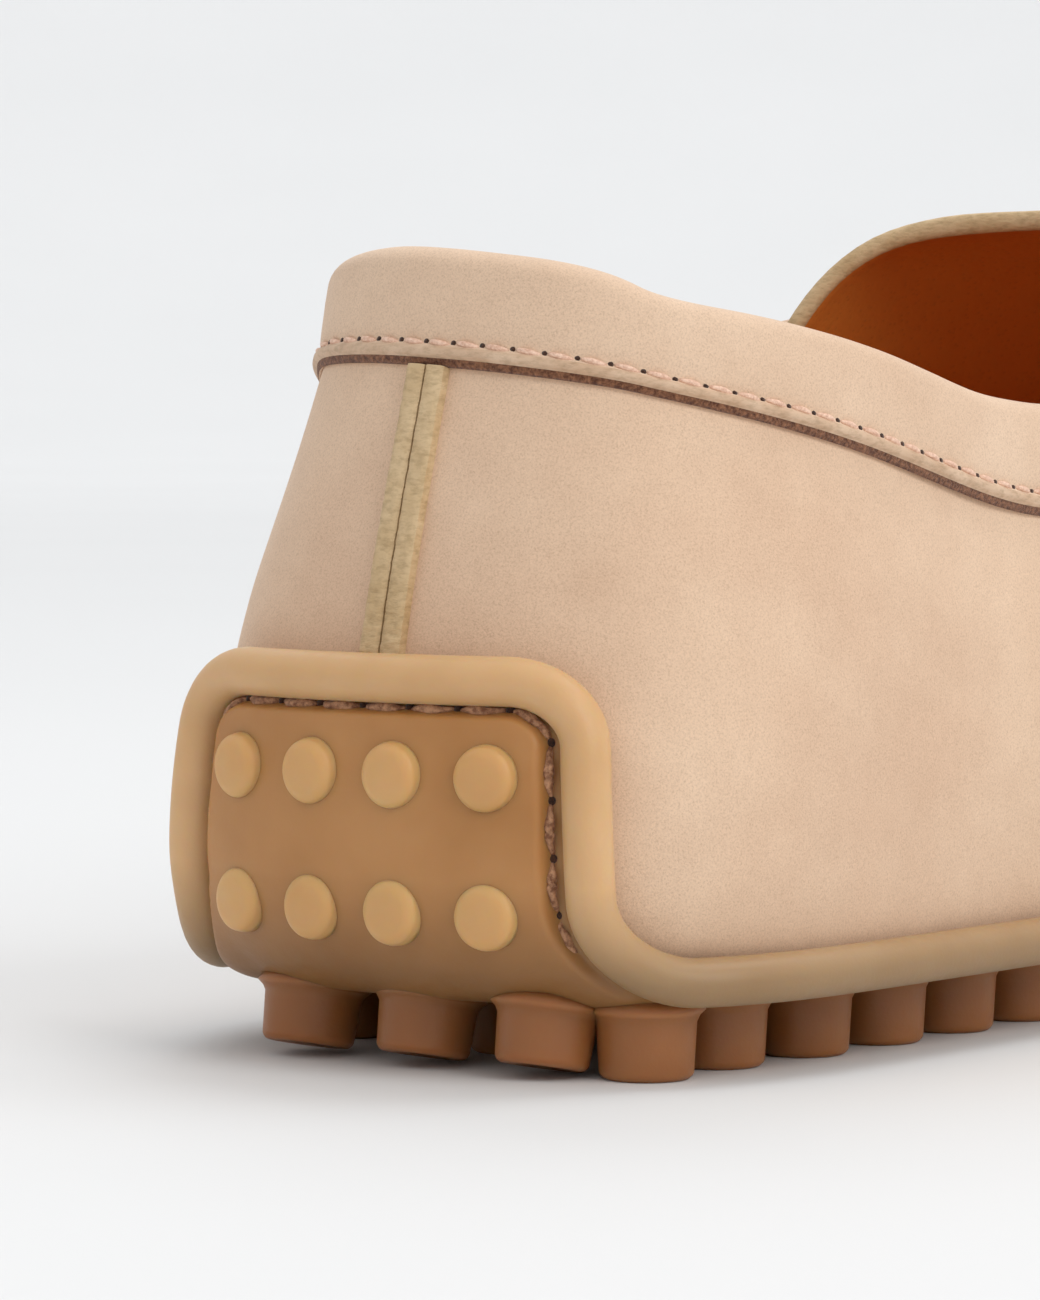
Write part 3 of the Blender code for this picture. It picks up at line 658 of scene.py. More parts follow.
class Look:
    """A Principled material and the nodes that feed it, in the object's own coordinates."""

    def __init__(self, name, **values):
        self.material = bpy.data.materials.new(name)
        self.material.use_nodes = True
        self.tree = self.material.node_tree
        self.shader = self.tree.nodes["Principled BSDF"]
        for key, value in values.items():
            self.shader.inputs[key.replace("_", " ")].default_value = value
        self.coordinates = self.node("ShaderNodeTexCoord").outputs["Object"]

    def node(self, kind, inputs=None, **settings):
        """A node with its settings; inputs may be values or the outputs of other nodes."""
        node = self.tree.nodes.new(kind)
        for key, value in settings.items():
            setattr(node, key, value)
        for key, value in (inputs or {}).items():
            if isinstance(value, bpy.types.NodeSocket):
                self.tree.links.new(value, node.inputs[key])
            else:
                node.inputs[key].default_value = value
        return node

    def noise(self, scale, detail=3.0, roughness=0.55, vector=None):
        """Noise value at a scale in features per metre."""
        inputs = {"Scale": scale, "Detail": detail, "Roughness": roughness}
        inputs["Vector"] = vector or self.coordinates
        return self.node("ShaderNodeTexNoise", inputs).outputs["Fac"]

    def ramp(self, value, *stops):
        """Colours at places along a value."""
        node = self.node("ShaderNodeValToRGB", {"Fac": value})
        elements = node.color_ramp.elements
        while len(elements) < len(stops):
            elements.new(0.5)
        for element, (position, colour) in zip(elements, stops):
            element.position = position
            element.color = (*colour, 1.0)
        return node.outputs["Color"]

    def blend(self, value, low, high, deep, pale):
        """Deep colour up to a low value, pale colour from a high one."""
        return self.mix(self.ramp(value, (low, BLACK), (high, WHITE)), deep, pale)

    def mix(self, share, one, two, kind="MIX"):
        """Mix of two colours by a share; colours enter at sockets 6 and 7 and leave at output 2."""
        colours = [value if isinstance(value, bpy.types.NodeSocket) else (*value, 1.0)
                   for value in (one, two)]
        inputs = {0: share, 6: colours[0], 7: colours[1]}
        return self.node("ShaderNodeMix", inputs, data_type="RGBA", blend_type=kind).outputs[2]

    def times(self, tone, factor):
        """A tone multiplied by a factor colour."""
        return self.mix(1.0, tone, factor, "MULTIPLY")

    def spread(self, value, low, high):
        """A value from 0 to 1 spread from low to high."""
        inputs = {"Value": value, "To Min": low, "To Max": high}
        return self.node("ShaderNodeMapRange", inputs).outputs["Result"]

    def feed(self, name, output):
        """Link an output to a socket of the shader."""
        self.tree.links.new(output, self.shader.inputs[name])

    def bump(self, height, distance, strength, below=None):
        """Bump of a height in metres, on top of another bump."""
        inputs = {"Height": height, "Distance": distance, "Strength": strength}
        if below is not None:
            inputs["Normal"] = below
        return self.node("ShaderNodeBump", inputs).outputs["Normal"]


def linear(red, green, blue):
    """A colour on the 0 to 255 screen scale, as light."""
    return tuple((value / 255) ** 2.2 for value in (red, green, blue))


def nubuck(name, pale, deep):
    """Soft brushed leather: cloudy tone, fine speckled nap."""
    look = Look(name, Roughness=0.86, Sheen_Weight=0.22, Sheen_Roughness=0.45, Specular_IOR_Level=0.25)
    look.shader.inputs["Sheen Tint"].default_value = (1.0, 0.93, 0.86, 1.0)
    tone = look.blend(look.noise(scale=34.0, roughness=0.6), 0.36, 0.66, deep, pale)
    brushed = look.noise(scale=190.0, detail=5.0, roughness=0.66)
    patch = look.ramp(brushed, (0.34, (0.95, 0.935, 0.925)), (0.66, (1.03, 1.03, 1.03)))
    tone = look.mix(0.6, tone, look.times(tone, patch))
    fine = look.noise(scale=5600.0, roughness=0.75)
    speck = look.ramp(fine, (0.32, (0.82, 0.79, 0.77)), (0.5, WHITE), (0.72, (1.09, 1.085, 1.08)))
    look.feed("Base Color", look.times(tone, speck))
    nap = look.bump(look.noise(scale=5200.0, roughness=0.7), distance=0.00010, strength=0.55)
    grain = look.noise(scale=620.0, detail=4.0, roughness=0.6)
    look.feed("Normal", look.bump(grain, distance=0.00022, strength=0.35, below=nap))
    return look.material


def lining_leather(name, pale, deep):
    """Smooth tan lining with a fine pore grain."""
    look = Look(name, Roughness=0.5, Specular_IOR_Level=0.4)
    tone = look.mix(look.noise(scale=45.0), deep, pale)
    cells = look.node("ShaderNodeTexVoronoi", {"Vector": look.coordinates, "Scale": 1300.0})
    pores = cells.outputs["Distance"]
    look.feed("Base Color", look.times(tone, look.ramp(pores, (0.0, (0.86, 0.84, 0.82)), (0.35, WHITE))))
    look.feed("Normal", look.bump(pores, distance=0.00010, strength=0.35))
    return look.material


def painted_edge(name, pale, deep):
    """Cut leather edge with a skin of matt paint, finely wrinkled across."""
    look = Look(name, Roughness=0.55, Specular_IOR_Level=0.4)
    stretched = look.node("ShaderNodeMapping", {"Vector": look.coordinates, "Scale": (1.0, 1.0, 2.6)})
    wrinkle = look.noise(scale=900.0, detail=4.0, roughness=0.65, vector=stretched.outputs["Vector"])
    tone = look.blend(look.noise(scale=240.0), 0.35, 0.65, deep, pale)
    tone = look.times(tone, look.ramp(wrinkle, (0.34, (0.80, 0.78, 0.74)), (0.55, (1.02, 1.02, 1.02))))
    look.feed("Base Color", tone)
    look.feed("Normal", look.bump(wrinkle, distance=0.00022, strength=0.8))
    return look.material


def gum_rubber(name, pale, deep, weight, foot=1.0):
    """Cloudy gum rubber that light enters and leaves, darkened toward the floor by painted shade."""
    look = Look(name, Specular_IOR_Level=0.42, Subsurface_Weight=weight, Subsurface_Scale=0.0034)
    look.shader.inputs["Subsurface Radius"].default_value = (1.0, 0.46, 0.16)
    tone = look.blend(look.noise(scale=70.0), 0.35, 0.65, deep, pale)
    height = look.node("ShaderNodeSeparateXYZ", {"Vector": look.coordinates}).outputs["Z"]
    # Painted shade: the colour is scaled down to the foot factor at the sole's side height, rising to full
    # at twice that height.
    share = look.node("ShaderNodeMapRange", {
        "Value": height, "From Min": SIDE_HEIGHT, "From Max": 2 * SIDE_HEIGHT,
        "To Min": foot, "To Max": 1.0}).outputs["Result"]
    look.feed("Base Color", look.times(tone, share))
    look.feed("Roughness", look.spread(look.noise(scale=1500.0), 0.36, 0.52))
    skin = look.bump(look.noise(scale=2600.0), distance=0.00005, strength=0.35)
    swell = look.noise(scale=260.0, detail=2.0)
    look.feed("Normal", look.bump(swell, distance=0.00010, strength=0.25, below=skin))
    return look.material


def yarn(name, pale, deep, scale):
    """Waxed thread with fibres."""
    look = Look(name, Roughness=0.7, Sheen_Weight=0.15)
    fibres = look.noise(scale, detail=4.0, roughness=0.7)
    look.feed("Base Color", look.blend(fibres, 0.38, 0.62, deep, pale))
    look.feed("Normal", look.bump(fibres, distance=0.00010, strength=0.8))
    return look.material


def raw_edge(name, pale, deep):
    """Fuzzy cut leather; in dark tones it also paints shade, in the needle holes and partly under the
    collar's lip.
    """
    look = Look(name, Roughness=0.95, Sheen_Weight=0.2)
    fuzz = look.noise(scale=2600.0, detail=5.0, roughness=0.75)
    look.feed("Base Color", look.blend(fuzz, 0.40, 0.66, deep, pale))
    look.feed("Normal", look.bump(fuzz, distance=0.00018, strength=1.0))
    return look.material


NUBUCK = nubuck("nubuck", linear(227, 197, 169), linear(216, 183, 155))
COLLAR = nubuck("collar_nubuck", linear(227, 198, 171), linear(216, 184, 156))
LINING = lining_leather("lining_leather", linear(226, 142, 66), linear(212, 124, 52))
EDGE_PAINT = painted_edge("painted_edge", linear(212, 184, 144), linear(194, 164, 122))
LIP = painted_edge("lip_paint", linear(214, 184, 156), linear(200, 166, 136))
# Raw leather band under the collar's lip; its deep brown is partly the raw leather and partly painted shade
# under the overhanging lip.
RAW_EDGE_AND_SHADE = raw_edge("raw_edge", linear(160, 110, 78), linear(84, 46, 26))
# The foot factors paint shade on the rim and the panel toward the floor.
RIM_GUM = gum_rubber("gum_rim", linear(212, 174, 128), linear(202, 162, 114), weight=0.6, foot=0.50)
PANEL_GUM = gum_rubber("gum_panel", linear(188, 136, 84), linear(174, 122, 70), weight=0.5, foot=0.60)
# The sole studs' gum is a deeper copy of the rim's; the deeper tone is painted shade for the shade under
# the rim.
SHADED_STUD_GUM = gum_rubber("gum_studs", linear(158, 104, 62), linear(146, 94, 52), weight=0.7)
PANEL_STUD_GUM = gum_rubber("gum_panel_studs", linear(212, 166, 110), linear(204, 156, 100), weight=0.65)
THREAD = yarn("sole_thread", linear(194, 146, 110), linear(120, 76, 50), scale=1800.0)
STITCH = yarn("collar_thread", linear(244, 208, 184), linear(216, 170, 144), scale=3000.0)
# Painted shade: the needle holes are dark plugs standing in for the shade inside the holes.
HOLE_SHADE = raw_edge("needle_hole", linear(84, 52, 34), linear(48, 28, 18))


def dent_relief(points):
    """How far the soft dents push the wall in, as a negative offset."""
    total = np.zeros(len(points))
    for side, along, height, half_length, half_width, depth, turn in DENTS:
        angle = math.radians(turn)
        away = points[:, 1] - along
        up = points[:, 2] - height
        main = away * math.cos(angle) + up * math.sin(angle)
        cross = up * math.cos(angle) - away * math.sin(angle)
        near = np.exp(-(main / half_length) ** 2 - (cross / half_width) ** 2)
        total -= depth * near * (points[:, 0] * side > 0)
    return total


def soft_noise(points, waves):
    """Slow unevenness of a soft surface."""
    total = np.zeros(len(points))
    for wave, depth, start, squeeze in waves:
        moved = points * (1.0, 1.0, squeeze) + start
        total += depth * np.array([noise.noise(Vector(point) / wave) for point in moved])
    return total


def outward_skin(vertices, faces):
    """Outward vertex normals of an open skin, and its faces wound to match."""
    mesh = new_mesh("skin", vertices, faces)
    wind(mesh, 0.0)
    normals = np.empty(len(vertices) * 3)
    mesh.vertex_normals.foreach_get("vector", normals)
    normals = normals.reshape(-1, 3)
    wound = [tuple(face.vertices) for face in mesh.polygons]
    bpy.data.meshes.remove(mesh)
    if normals[0, 1] > 0:
        return -normals, [face[::-1] for face in wound]
    return normals, wound


def upper_skin():
    """The upper's outer surface: vertices, faces and a relief for each vertex."""
    params = loop_params()
    rows = WALL_STEPS + 1
    lengths = np.array([wall_length(param) for param in params])
    wall = [wall_points(param, np.linspace(0, length, rows), np.zeros(rows))
            for param, length in zip(params, lengths)]
    faces = grid_faces(len(params), rows, True)
    vertices = [np.vstack(wall)]
    below_top = (lengths[:, None] * (1 - np.linspace(0, 1, rows))).ravel()
    half_round = stations(0, TOE_ROW)
    station_of = np.concatenate([half_round, half_round[1:-1][::-1]])
    front = np.repeat(smooth_step(station_of, *PUCKER_STATIONS), rows)
    pucker = np.cos(np.repeat(params, rows) * 2 * math.pi / PUCKER_PITCH)
    reliefs = [PUCKER_DEPTH * front * pucker * np.exp(-(below_top / PUCKER_REACH) ** 2 * 2)]
    first = len(stations(0, THROAT_ROW)) - 1
    apron_stations = stations(THROAT_ROW, TOE_ROW)[:-1]
    shares = np.sin(np.pi / 2 * np.linspace(-1, 1, APRON_STEPS + 1))[1:-1]
    grid = []
    count = len(vertices[0])
    for index, station in enumerate(apron_stations):
        outer = (first + index) * rows + rows - 1
        inner = (len(params) - first - index) * rows + rows - 1
        creases = [-depth * np.exp(-((station - at) * STATION_LENGTH / half) ** 2)
                   for at, depth, half in CREASES]
        vertices.append(apron_points(station, shares))
        reliefs.append(sum(creases) * (1 - shares ** 2))
        grid.append([inner] + list(range(count, count + len(shares))) + [outer])
        count += len(shares)
    toe = (first + len(apron_stations)) * rows + rows - 1
    for one, two in zip(grid, grid[1:]):
        faces += [(one[i], one[i + 1], two[i + 1], two[i]) for i in range(APRON_STEPS)]
    faces += [(grid[-1][i], grid[-1][i + 1], toe) for i in range(APRON_STEPS)]
    return np.vstack(vertices), faces, np.concatenate(reliefs)


def make_upper():
    """Nubuck outside, lining inside and a painted cut edge between them."""
    vertices, faces, relief = upper_skin()
    normals, faces = outward_skin(vertices, faces)
    count = len(vertices)
    relief = relief + dent_relief(vertices) + soft_noise(vertices, UPPER_WAVES)
    outer = vertices + normals * relief[:, None]
    inner = vertices - normals * WALL
    edges = {edge for face in faces for edge in zip(face, face[1:] + face[:1])}
    border = sorted((one, two) for one, two in edges if (two, one) not in edges)
    away = np.zeros((count, 3))
    for one, two in border:
        push = unit(np.cross(vertices[two] - vertices[one], normals[one] + normals[two]))
        away[one] += push
        away[two] += push
    angles = np.linspace(0, math.pi, EDGE_STEPS + 1)[1:-1, None]
    chains = {}
    extra = []
    for vertex in sorted({vertex for edge in border for vertex in edge}):
        middle = (outer[vertex] + inner[vertex]) / 2
        half = (outer[vertex] - inner[vertex]) / 2
        start = 2 * count + len(extra) * len(angles)
        chains[vertex] = [vertex] + list(range(start, start + len(angles))) + [vertex + count]
        extra.append(middle + half * np.cos(angles) + unit(away[vertex]) * EDGE_CROWN * np.sin(angles))
    lining = [tuple(vertex + count for vertex in face[::-1]) for face in faces]
    cut = [(chains[two][i], chains[one][i], chains[one][i + 1], chains[two][i + 1])
           for one, two in border for i in range(EDGE_STEPS)]
    marks = [0] * len(faces) + [1] * len(lining) + [2] * len(cut)
    new_piece("upper_leather", np.vstack([outer, inner] + extra), faces + lining + cut,
              [NUBUCK, LINING, EDGE_PAINT], "nubuck", ["upper"], marks)


def collar_params():
    """Distances round the topline, from the inner throat corner to the outer one."""
    outer = stations(0, THROAT_ROW)[:-1] + [THROAT_ROW - COLLAR_END]
    params = [LAST.param(-1, station) - LAST.period for station in reversed(outer[1:])]
    return params + [LAST.param(1, station) for station in outer]


def collar_share(param):
    """Height of the collar's outer face at a place, as a share of its height at the heel's middle."""
    distance = min(param % LAST.period, -param % LAST.period)
    return 1 - COLLAR_NARROWING / COLLAR_DROP * math.exp(-((distance - NARROW_AT) / NARROW_REACH) ** 2)


def collar_section(param):
    """Closed section of the collar round the wall's top edge."""
    length = wall_length(param)
    narrow = collar_share(param)
    face_drops, face_offsets = np.array(COLLAR_FACE).T
    tail_drops, thinning = np.array(COLLAR_TAIL).T
    outside = GAP + COLLAR_THICKNESS
    middle = (outside + COLLAR_INSIDE) / 2
    lining = -WALL - GAP / 2
    base = top_point(param, 0.0, middle)
    side = unit(top_point(param, 0.0, outside) - base) * (outside - COLLAR_INSIDE) / 2
    up = unit(base - top_point(param, tail_drops[0], middle))
    angles = np.linspace(0, math.pi, ARC_STEPS + 1)[:, None]
    under_drops = np.array(COLLAR_UNDER_DROPS) * narrow
    return np.vstack([
        wall_points(param, length - face_drops * narrow, face_offsets),
        base + side * np.cos(angles) + up * COLLAR_OVER * np.sin(angles),
        wall_points(param, length - tail_drops, COLLAR_INSIDE + thinning),
        wall_points(param, length - tail_drops[::-1], np.full(len(tail_drops), lining)),
        top_point(param, 0.0, lining) + up * GAP,
        top_point(param, 0.0, GAP / 2) + up * GAP,
        wall_points(param, length - under_drops, np.full(len(under_drops), COLLAR_UNDER)),
    ])


def make_collar():
    """The nubuck band folded over the topline, with its stitched lower lip."""
    sections = np.array([collar_section(param) for param in collar_params()])
    count = len(sections)
    size = len(sections[0])
    centres = sections.mean(axis=1)
    vertices = sections.reshape(-1, 3)
    soft = np.zeros(size)
    soft[COLLAR_SOFT_START:len(COLLAR_FACE) + ARC_STEPS + COLLAR_SOFT_PAST] = 1.0
    push = soft_noise(vertices, COLLAR_WAVES) * np.tile(soft, count)
    vertices = vertices + unit(vertices - np.repeat(centres, size, axis=0)) * push[:, None]
    faces = tube_faces(count, size)
    marks = ([2] * RAW_FACES + [1] * LIP_FACES + [0] * (size - RAW_FACES - LIP_FACES)) * (count - 1)
    for start, centre in ((0, count * size), ((count - 1) * size, count * size + 1)):
        faces += [(start + i, start + (i + 1) % size, centre) for i in range(size)]
        marks += [0] * size
    vertices = np.vstack([vertices, centres[:1], centres[-1:]])
    new_piece("collar_roll", vertices, faces, [COLLAR, LIP, RAW_EDGE_AND_SHADE], "collar", ["collar_band"], marks)


def collar_point(param, drop, offset):
    """A point of the collar's outer face; the drop is that at the heel's middle."""
    return top_point(param, drop * collar_share(param), offset)


def make_collar_stitches():
    """The row of stitches above the collar's lip, and dark plugs of painted shade for the needle holes
    between them.
    """
    params = np.array(collar_params())
    lengths = curve_lengths(np.array([collar_point(param, STITCH_DROP, STITCH_OFFSET) for param in params]))
    shares = np.linspace(0, 1, STITCH_STEPS + 1)
    rises = np.sin(np.pi * shares)
    radii = STITCH_RADIUS * (STITCH_TIP + (1 - STITCH_TIP) * np.sqrt(rises))
    offsets = STITCH_OFFSET - STITCH_SINK + STITCH_ARCH * rises
    threads = []
    holes = []
    for index in range(int(lengths[-1] / STITCH_PITCH) - 1):
        start = STITCH_PITCH * (index + 0.5)
        wander = noise.noise(Vector((index * WANDER_STEP, 0.3, 0.1))) * STITCH_WANDER
        drops = STITCH_DROP + (shares - 0.5) * STITCH_SLANT + wander
        along = np.interp(start + shares * STITCH_PITCH * STITCH_SHARE, lengths, params)
        path = [collar_point(*spot) for spot in zip(along, drops, offsets)]
        threads.append(tube(path, radii, STITCH_SIDES))
        param = float(np.interp(start - STITCH_PITCH * (1 - STITCH_SHARE) / 2, lengths, params))
        hole = [collar_point(param, STITCH_DROP - STITCH_WANDER, STITCH_OFFSET - depth)
                for depth in STITCH_HOLE_DEPTHS]
        holes.append(tube(hole, STITCH_HOLE_RADII, STITCH_SIDES))
    new_piece("collar_stitches", *gather(threads), [STITCH], "seam")
    new_piece("collar_needle_holes", *gather(holes), [HOLE_SHADE], "seam")


def position_at(param, height):
    """Running length up the wall at which it reaches a height."""
    curve = LAST.profile(param)[2]
    return float(np.interp(height, curve[:, 1], curve_lengths(curve)))


def make_heel_edges():
    """The two painted cut edges that meet down the back seam."""
    raised = [(edge, 1.0) for edge in np.linspace(0, 1, STRIP_COLUMNS + 1)]
    spots = np.array(raised + [(1.0, 0.0), (0.0, 0.0)])
    for name, side in (("outer", 1), ("inner", -1)):
        columns = []
        for edge, lift in spots:
            across = (GAP / 4 + edge * STRIP_WIDTH) * side
            low = position_at(across, PATCH_TOP + RIM_RADIUS * STRIP_FOOT)
            high = wall_length(across) - COLLAR_DROP - 2 * GAP
            swell = 1 - STRIP_CROWN * abs(2 * edge - 1) ** STRIP_SQUARENESS
            offset = (GAP / 3 + STRIP_THICKNESS * swell) * lift
            positions = np.linspace(low, high, STRIP_STEPS + 1)
            columns.append(wall_points(across, positions, np.full(STRIP_STEPS + 1, offset)))
        vertices = np.stack(columns, axis=1).reshape(-1, 3)
        vertices[:, 1] -= soft_noise(vertices, STRIP_WAVES) * np.tile(spots[:, 1], STRIP_STEPS + 1)
        faces = solid_faces(STRIP_STEPS + 1, len(columns))
        new_piece("heel_edge_" + name, vertices, faces, [EDGE_PAINT], "painted_edge",
                  ["heel_seam_" + name], sharp=STRIP_SHARP)


def roll_share(param):
    """1 where the heel panel rolls into the base, 0 along the sides."""
    distance = min(param % LAST.period, -param % LAST.period)
    return 1 - float(smooth_step(distance, PATCH_HALF - STUD_RADIUS, PATCH_HALF + STUD_RADIUS))


def path_line(inset):
    """The rim's centre line round the heel patch, moved in, as (param, height) points of one side."""
    top_half = PATCH_HALF - PATCH_LEAN
    top_centre = np.array((top_half - PATCH_TOP_RADIUS, PATCH_TOP - PATCH_TOP_RADIUS))
    foot_centre = np.array((PATCH_HALF + PATCH_FOOT_RADIUS, SIDE_HEIGHT + PATCH_FOOT_RADIUS))
    across = np.arange(LINE_TOP_STEPS) / LINE_TOP_STEPS
    down = np.arange(1, LINE_SIDE_STEPS) / LINE_SIDE_STEPS
    return np.vstack([
        np.column_stack([top_centre[0] * across, np.full(LINE_TOP_STEPS, PATCH_TOP - inset)]),
        arc(top_centre, PATCH_TOP_RADIUS - inset, math.pi / 2, 0.0, LINE_CORNER_STEPS),
        np.column_stack([top_half + PATCH_LEAN * down - inset,
                         top_centre[1] + (foot_centre[1] - top_centre[1]) * down]),
        arc(foot_centre, PATCH_FOOT_RADIUS + inset, math.pi, math.pi * 3 / 2, LINE_FOOT_STEPS),
    ])


def rim_inside(param, heights):
    """Signed distances from the rim's centre line, positive on the panel's side."""
    line = path_line(0.0)
    limit = np.interp(heights, line[::-1, 1], line[::-1, 0])
    line = np.vstack([line, line[-1] + (LINE_END, 0.0)])
    points = np.column_stack([np.full(len(heights), abs(param)), heights])
    nearest = np.full(len(points), LENGTH)
    for one, two in zip(line, line[1:]):
        run = two - one
        share = np.clip((points - one) @ run / (run @ run), 0, 1)
        nearest = np.minimum(nearest, np.linalg.norm(points - one - share[:, None] * run, axis=1))
    within = (heights < SIDE_HEIGHT) | ((heights < PATCH_TOP) & (abs(param) < limit))
    return np.where(within, nearest, -nearest)


def skin_column(param, heel):
    """A column of the sole's skin and how far inside the rim it is; at the heel it has the groove."""
    foot, outward, curve = LAST.profile(param)
    share = roll_share(param)
    roll_height = SIDE_HEIGHT + (PANEL_ROLL - RIM_DROP) * share
    level = RIM_OFFSET + (PANEL_THICKNESS - RIM_OFFSET) * share
    reach = SIDE_ROLL + (PANEL_ROLL_REACH - SIDE_ROLL) * share
    angles = np.linspace(0, math.pi / 2, ROLL_ROWS + 1)
    heights = roll_height - (roll_height - STUD_HEIGHT) * np.sin(angles)
    outs = outs_at(curve, level, roll_height) - reach * (1 - np.cos(angles))
    inside = np.zeros(len(heights))
    if heel:
        rows = np.linspace(PATCH_TOP, roll_height, UP_ROWS + 1)[:-1]
        normals = np.column_stack([np.cos(angles), -np.sin(angles)])
        normals = np.vstack([np.tile((1.0, 0.0), (UP_ROWS, 1)), normals])
        heights = np.concatenate([rows, heights])
        outs = np.concatenate([outs_at(curve, level, rows), outs])
        inside = rim_inside(param, heights)
        drop = GROOVE_DEPTH * (1 - smooth_step(inside, GROOVE_START, GROOVE_END)) * share
        outs = outs - drop * normals[:, 0]
        heights = heights - drop * normals[:, 1]
    return place(foot + outward * outs[:, None], heights), inside


def make_sole_skin():
    """Panel, roll and base of the sole in one skin with the thread's groove cut in it."""
    heel_params = np.arange(-SKIN_HALF, SKIN_HALF + SKIN_STEP / 2, SKIN_STEP)
    side_params = [param for param in loop_params() if SKIN_HALF < param < LAST.period - SKIN_HALF]
    columns = [skin_column(param, True) for param in heel_params]
    sides = [skin_column(param, False)[0] for param in side_params]
    rows = UP_ROWS + ROLL_ROWS + 1
    keep = np.concatenate([inside for points, inside in columns]) > -SKIN_TUCK
    faces = [face for face in grid_faces(len(columns), rows, False) if keep[face].all()]
    start = len(columns) * rows
    roll_rows = ROLL_ROWS + 1
    vertices = np.vstack([points for points, inside in columns] + sides)
    faces += grid_faces(len(sides), roll_rows, False, start)
    joins = ((start - roll_rows, start), (start + (len(sides) - 1) * roll_rows, UP_ROWS))
    for one, two in joins:
        faces += [(one + row, two + row, two + row + 1, one + row + 1) for row in range(ROLL_ROWS)]
    foot_ring = [index * rows + rows - 1 for index in range(len(columns))]
    foot_ring += [start + index * roll_rows + ROLL_ROWS for index in range(len(sides))]
    middle = (len(columns) - 1) // 2
    vertices, faces = cap(vertices, faces, foot_ring[middle:] + foot_ring[:middle], CAP_STEPS)
    new_piece("sole_skin", vertices, faces, [PANEL_GUM], "rubber")


def make_rim():
    """The rolled rim round the sole and over the heel panel."""
    half = path_line(0.0).tolist()
    corner = half[-1][0] + RIM_JOIN
    sides = [param for param in loop_params() if corner < param < LAST.period - corner]
    places = half + [(param, SIDE_HEIGHT) for param in sides]
    places += [(-param, height) for param, height in reversed(half[1:])]
    path = np.array([wall_at(param, height, RIM_SEAT)[0] for param, height in places])
    outer = np.array([wall_at(param, height, RIM_SEAT + PROBE)[0] for param, height in places])
    runs = unit(np.roll(path, -1, axis=0) - np.roll(path, 1, axis=0))
    angles = 2 * math.pi * np.arange(RIM_SIDES) / RIM_SIDES
    rings = []
    for point, run, away in zip(path, runs, outer - path):
        up = unit(away - run * away.dot(run))
        side = np.cross(run, up) * RIM_RADIUS
        rings.append(point + np.outer(np.cos(angles), side) + np.outer(np.sin(angles), up * RIM_HALF_DEPTH))
    faces = tube_faces(len(path), RIM_SIDES, joined=True)
    new_piece("sole_rim", np.vstack(rings), faces, [RIM_GUM], "rubber", ["outsole"])


def inset_loop():
    """Line of the edge studs, inside the feather line, as points (across, along)."""
    line = []
    for param in np.linspace(0, LAST.period, EDGE_SAMPLES, endpoint=False):
        value, slope = LAST.read(param)
        line.append(value[1::-1] - unit(np.array((slope[0], -slope[1]))) * EDGE_STUD_INSET)
    return np.array(line)


def edge_studs(line):
    """Studs a pitch apart along the edge, from the outer heel corner round to the inner one."""
    start = next(i for i, point in enumerate(line) if point[1] > FIRST_EDGE_STUD)
    end = max(i for i, point in enumerate(line) if point[1] > LAST_EDGE_STUD)
    run = line[start:end + 1]
    lengths = curve_lengths(run)
    count = int(round(lengths[-1] / STUD_PITCH))
    return list(sample(run, lengths, np.linspace(0, lengths[-1], count + 1)))


def stud_layout():
    """Places of all the studs under the sole, as (across, along, tilt)."""
    line = inset_loop()
    rear = [np.array((column * REAR_STUD_PITCH, REAR_STUD_LINE)) for column in (-1, 0, 1)]
    placed = rear + edge_studs(line) + [np.array(CORNER_STUD)]
    clear = 2 * STUD_RADIUS + STUD_CLEARANCE
    for row in range(int(LENGTH / STUD_ROW_PITCH)):
        along = HEEL_SEAT + row * STUD_ROW_PITCH
        near = [point for point in line if abs(point[1] - along) < STUD_RADIUS]
        if WAIST[0] < along / LENGTH < WAIST[1] or not near:
            continue
        inner = min(point[0] for point in near)
        outer = max(point[0] for point in near)
        middle = 0.0 if row == 0 else (inner + outer) / 2
        reach = int((outer - inner) / 2 / STUD_ROW_PITCH) + 1
        shift = STUD_ROW_PITCH / 2 if row % 2 else 0.0
        for column in range(-reach, reach + 1):
            spot = np.array((middle + shift + column * STUD_ROW_PITCH, along))
            if inner < spot[0] < outer and all(np.linalg.norm(spot - other) > clear for other in placed):
                placed.append(spot)
    tilts = [REAR_STUD_TILT] * len(rear) + [0.0] * (len(placed) - len(rear))
    return [(*spot, tilt) for spot, tilt in zip(placed, tilts)]


def stud_profile(length):
    """Section of a sole stud from its foot up: dished foot, rounded edge, tapered side, flared root."""
    tip = STUD_RADIUS * STUD_TAPER
    rounded = arc((tip - STUD_EDGE, STUD_EDGE), STUD_EDGE, -math.pi / 2, 0.0, STUD_EDGE_STEPS)
    side = [(tip + (STUD_RADIUS - tip) * share, STUD_EDGE + (length - STUD_EDGE) * share)
            for share in STUD_SIDE_SHARES]
    root = [(STUD_RADIUS + flare, length * share) for flare, share in STUD_FLARE]
    return [*STUD_DISH, *rounded, *side, *root, (STUD_RADIUS, length + STUD_ROOT)]


def make_sole_studs():
    """Round studs under the sole; the three at the back lean out and stand off the floor."""
    parts = []
    for across, along, tilt in stud_layout():
        before, after = spring_lift((along + np.array((-PROBE, PROBE))) / LENGTH)
        angle = math.atan((after - before) / (2 * PROBE)) - tilt
        rise = STUD_RADIUS * math.sin(abs(angle))
        foot = Vector(place((across, along), rise)[0])
        turn = Matrix.Translation(foot) @ Matrix.Rotation(angle, 4, "X")
        parts.append(lathe(stud_profile((STUD_HEIGHT - rise) / math.cos(angle)), STUD_SIDES, turn))
    new_piece("sole_studs", *gather(parts), [SHADED_STUD_GUM], "rubber")


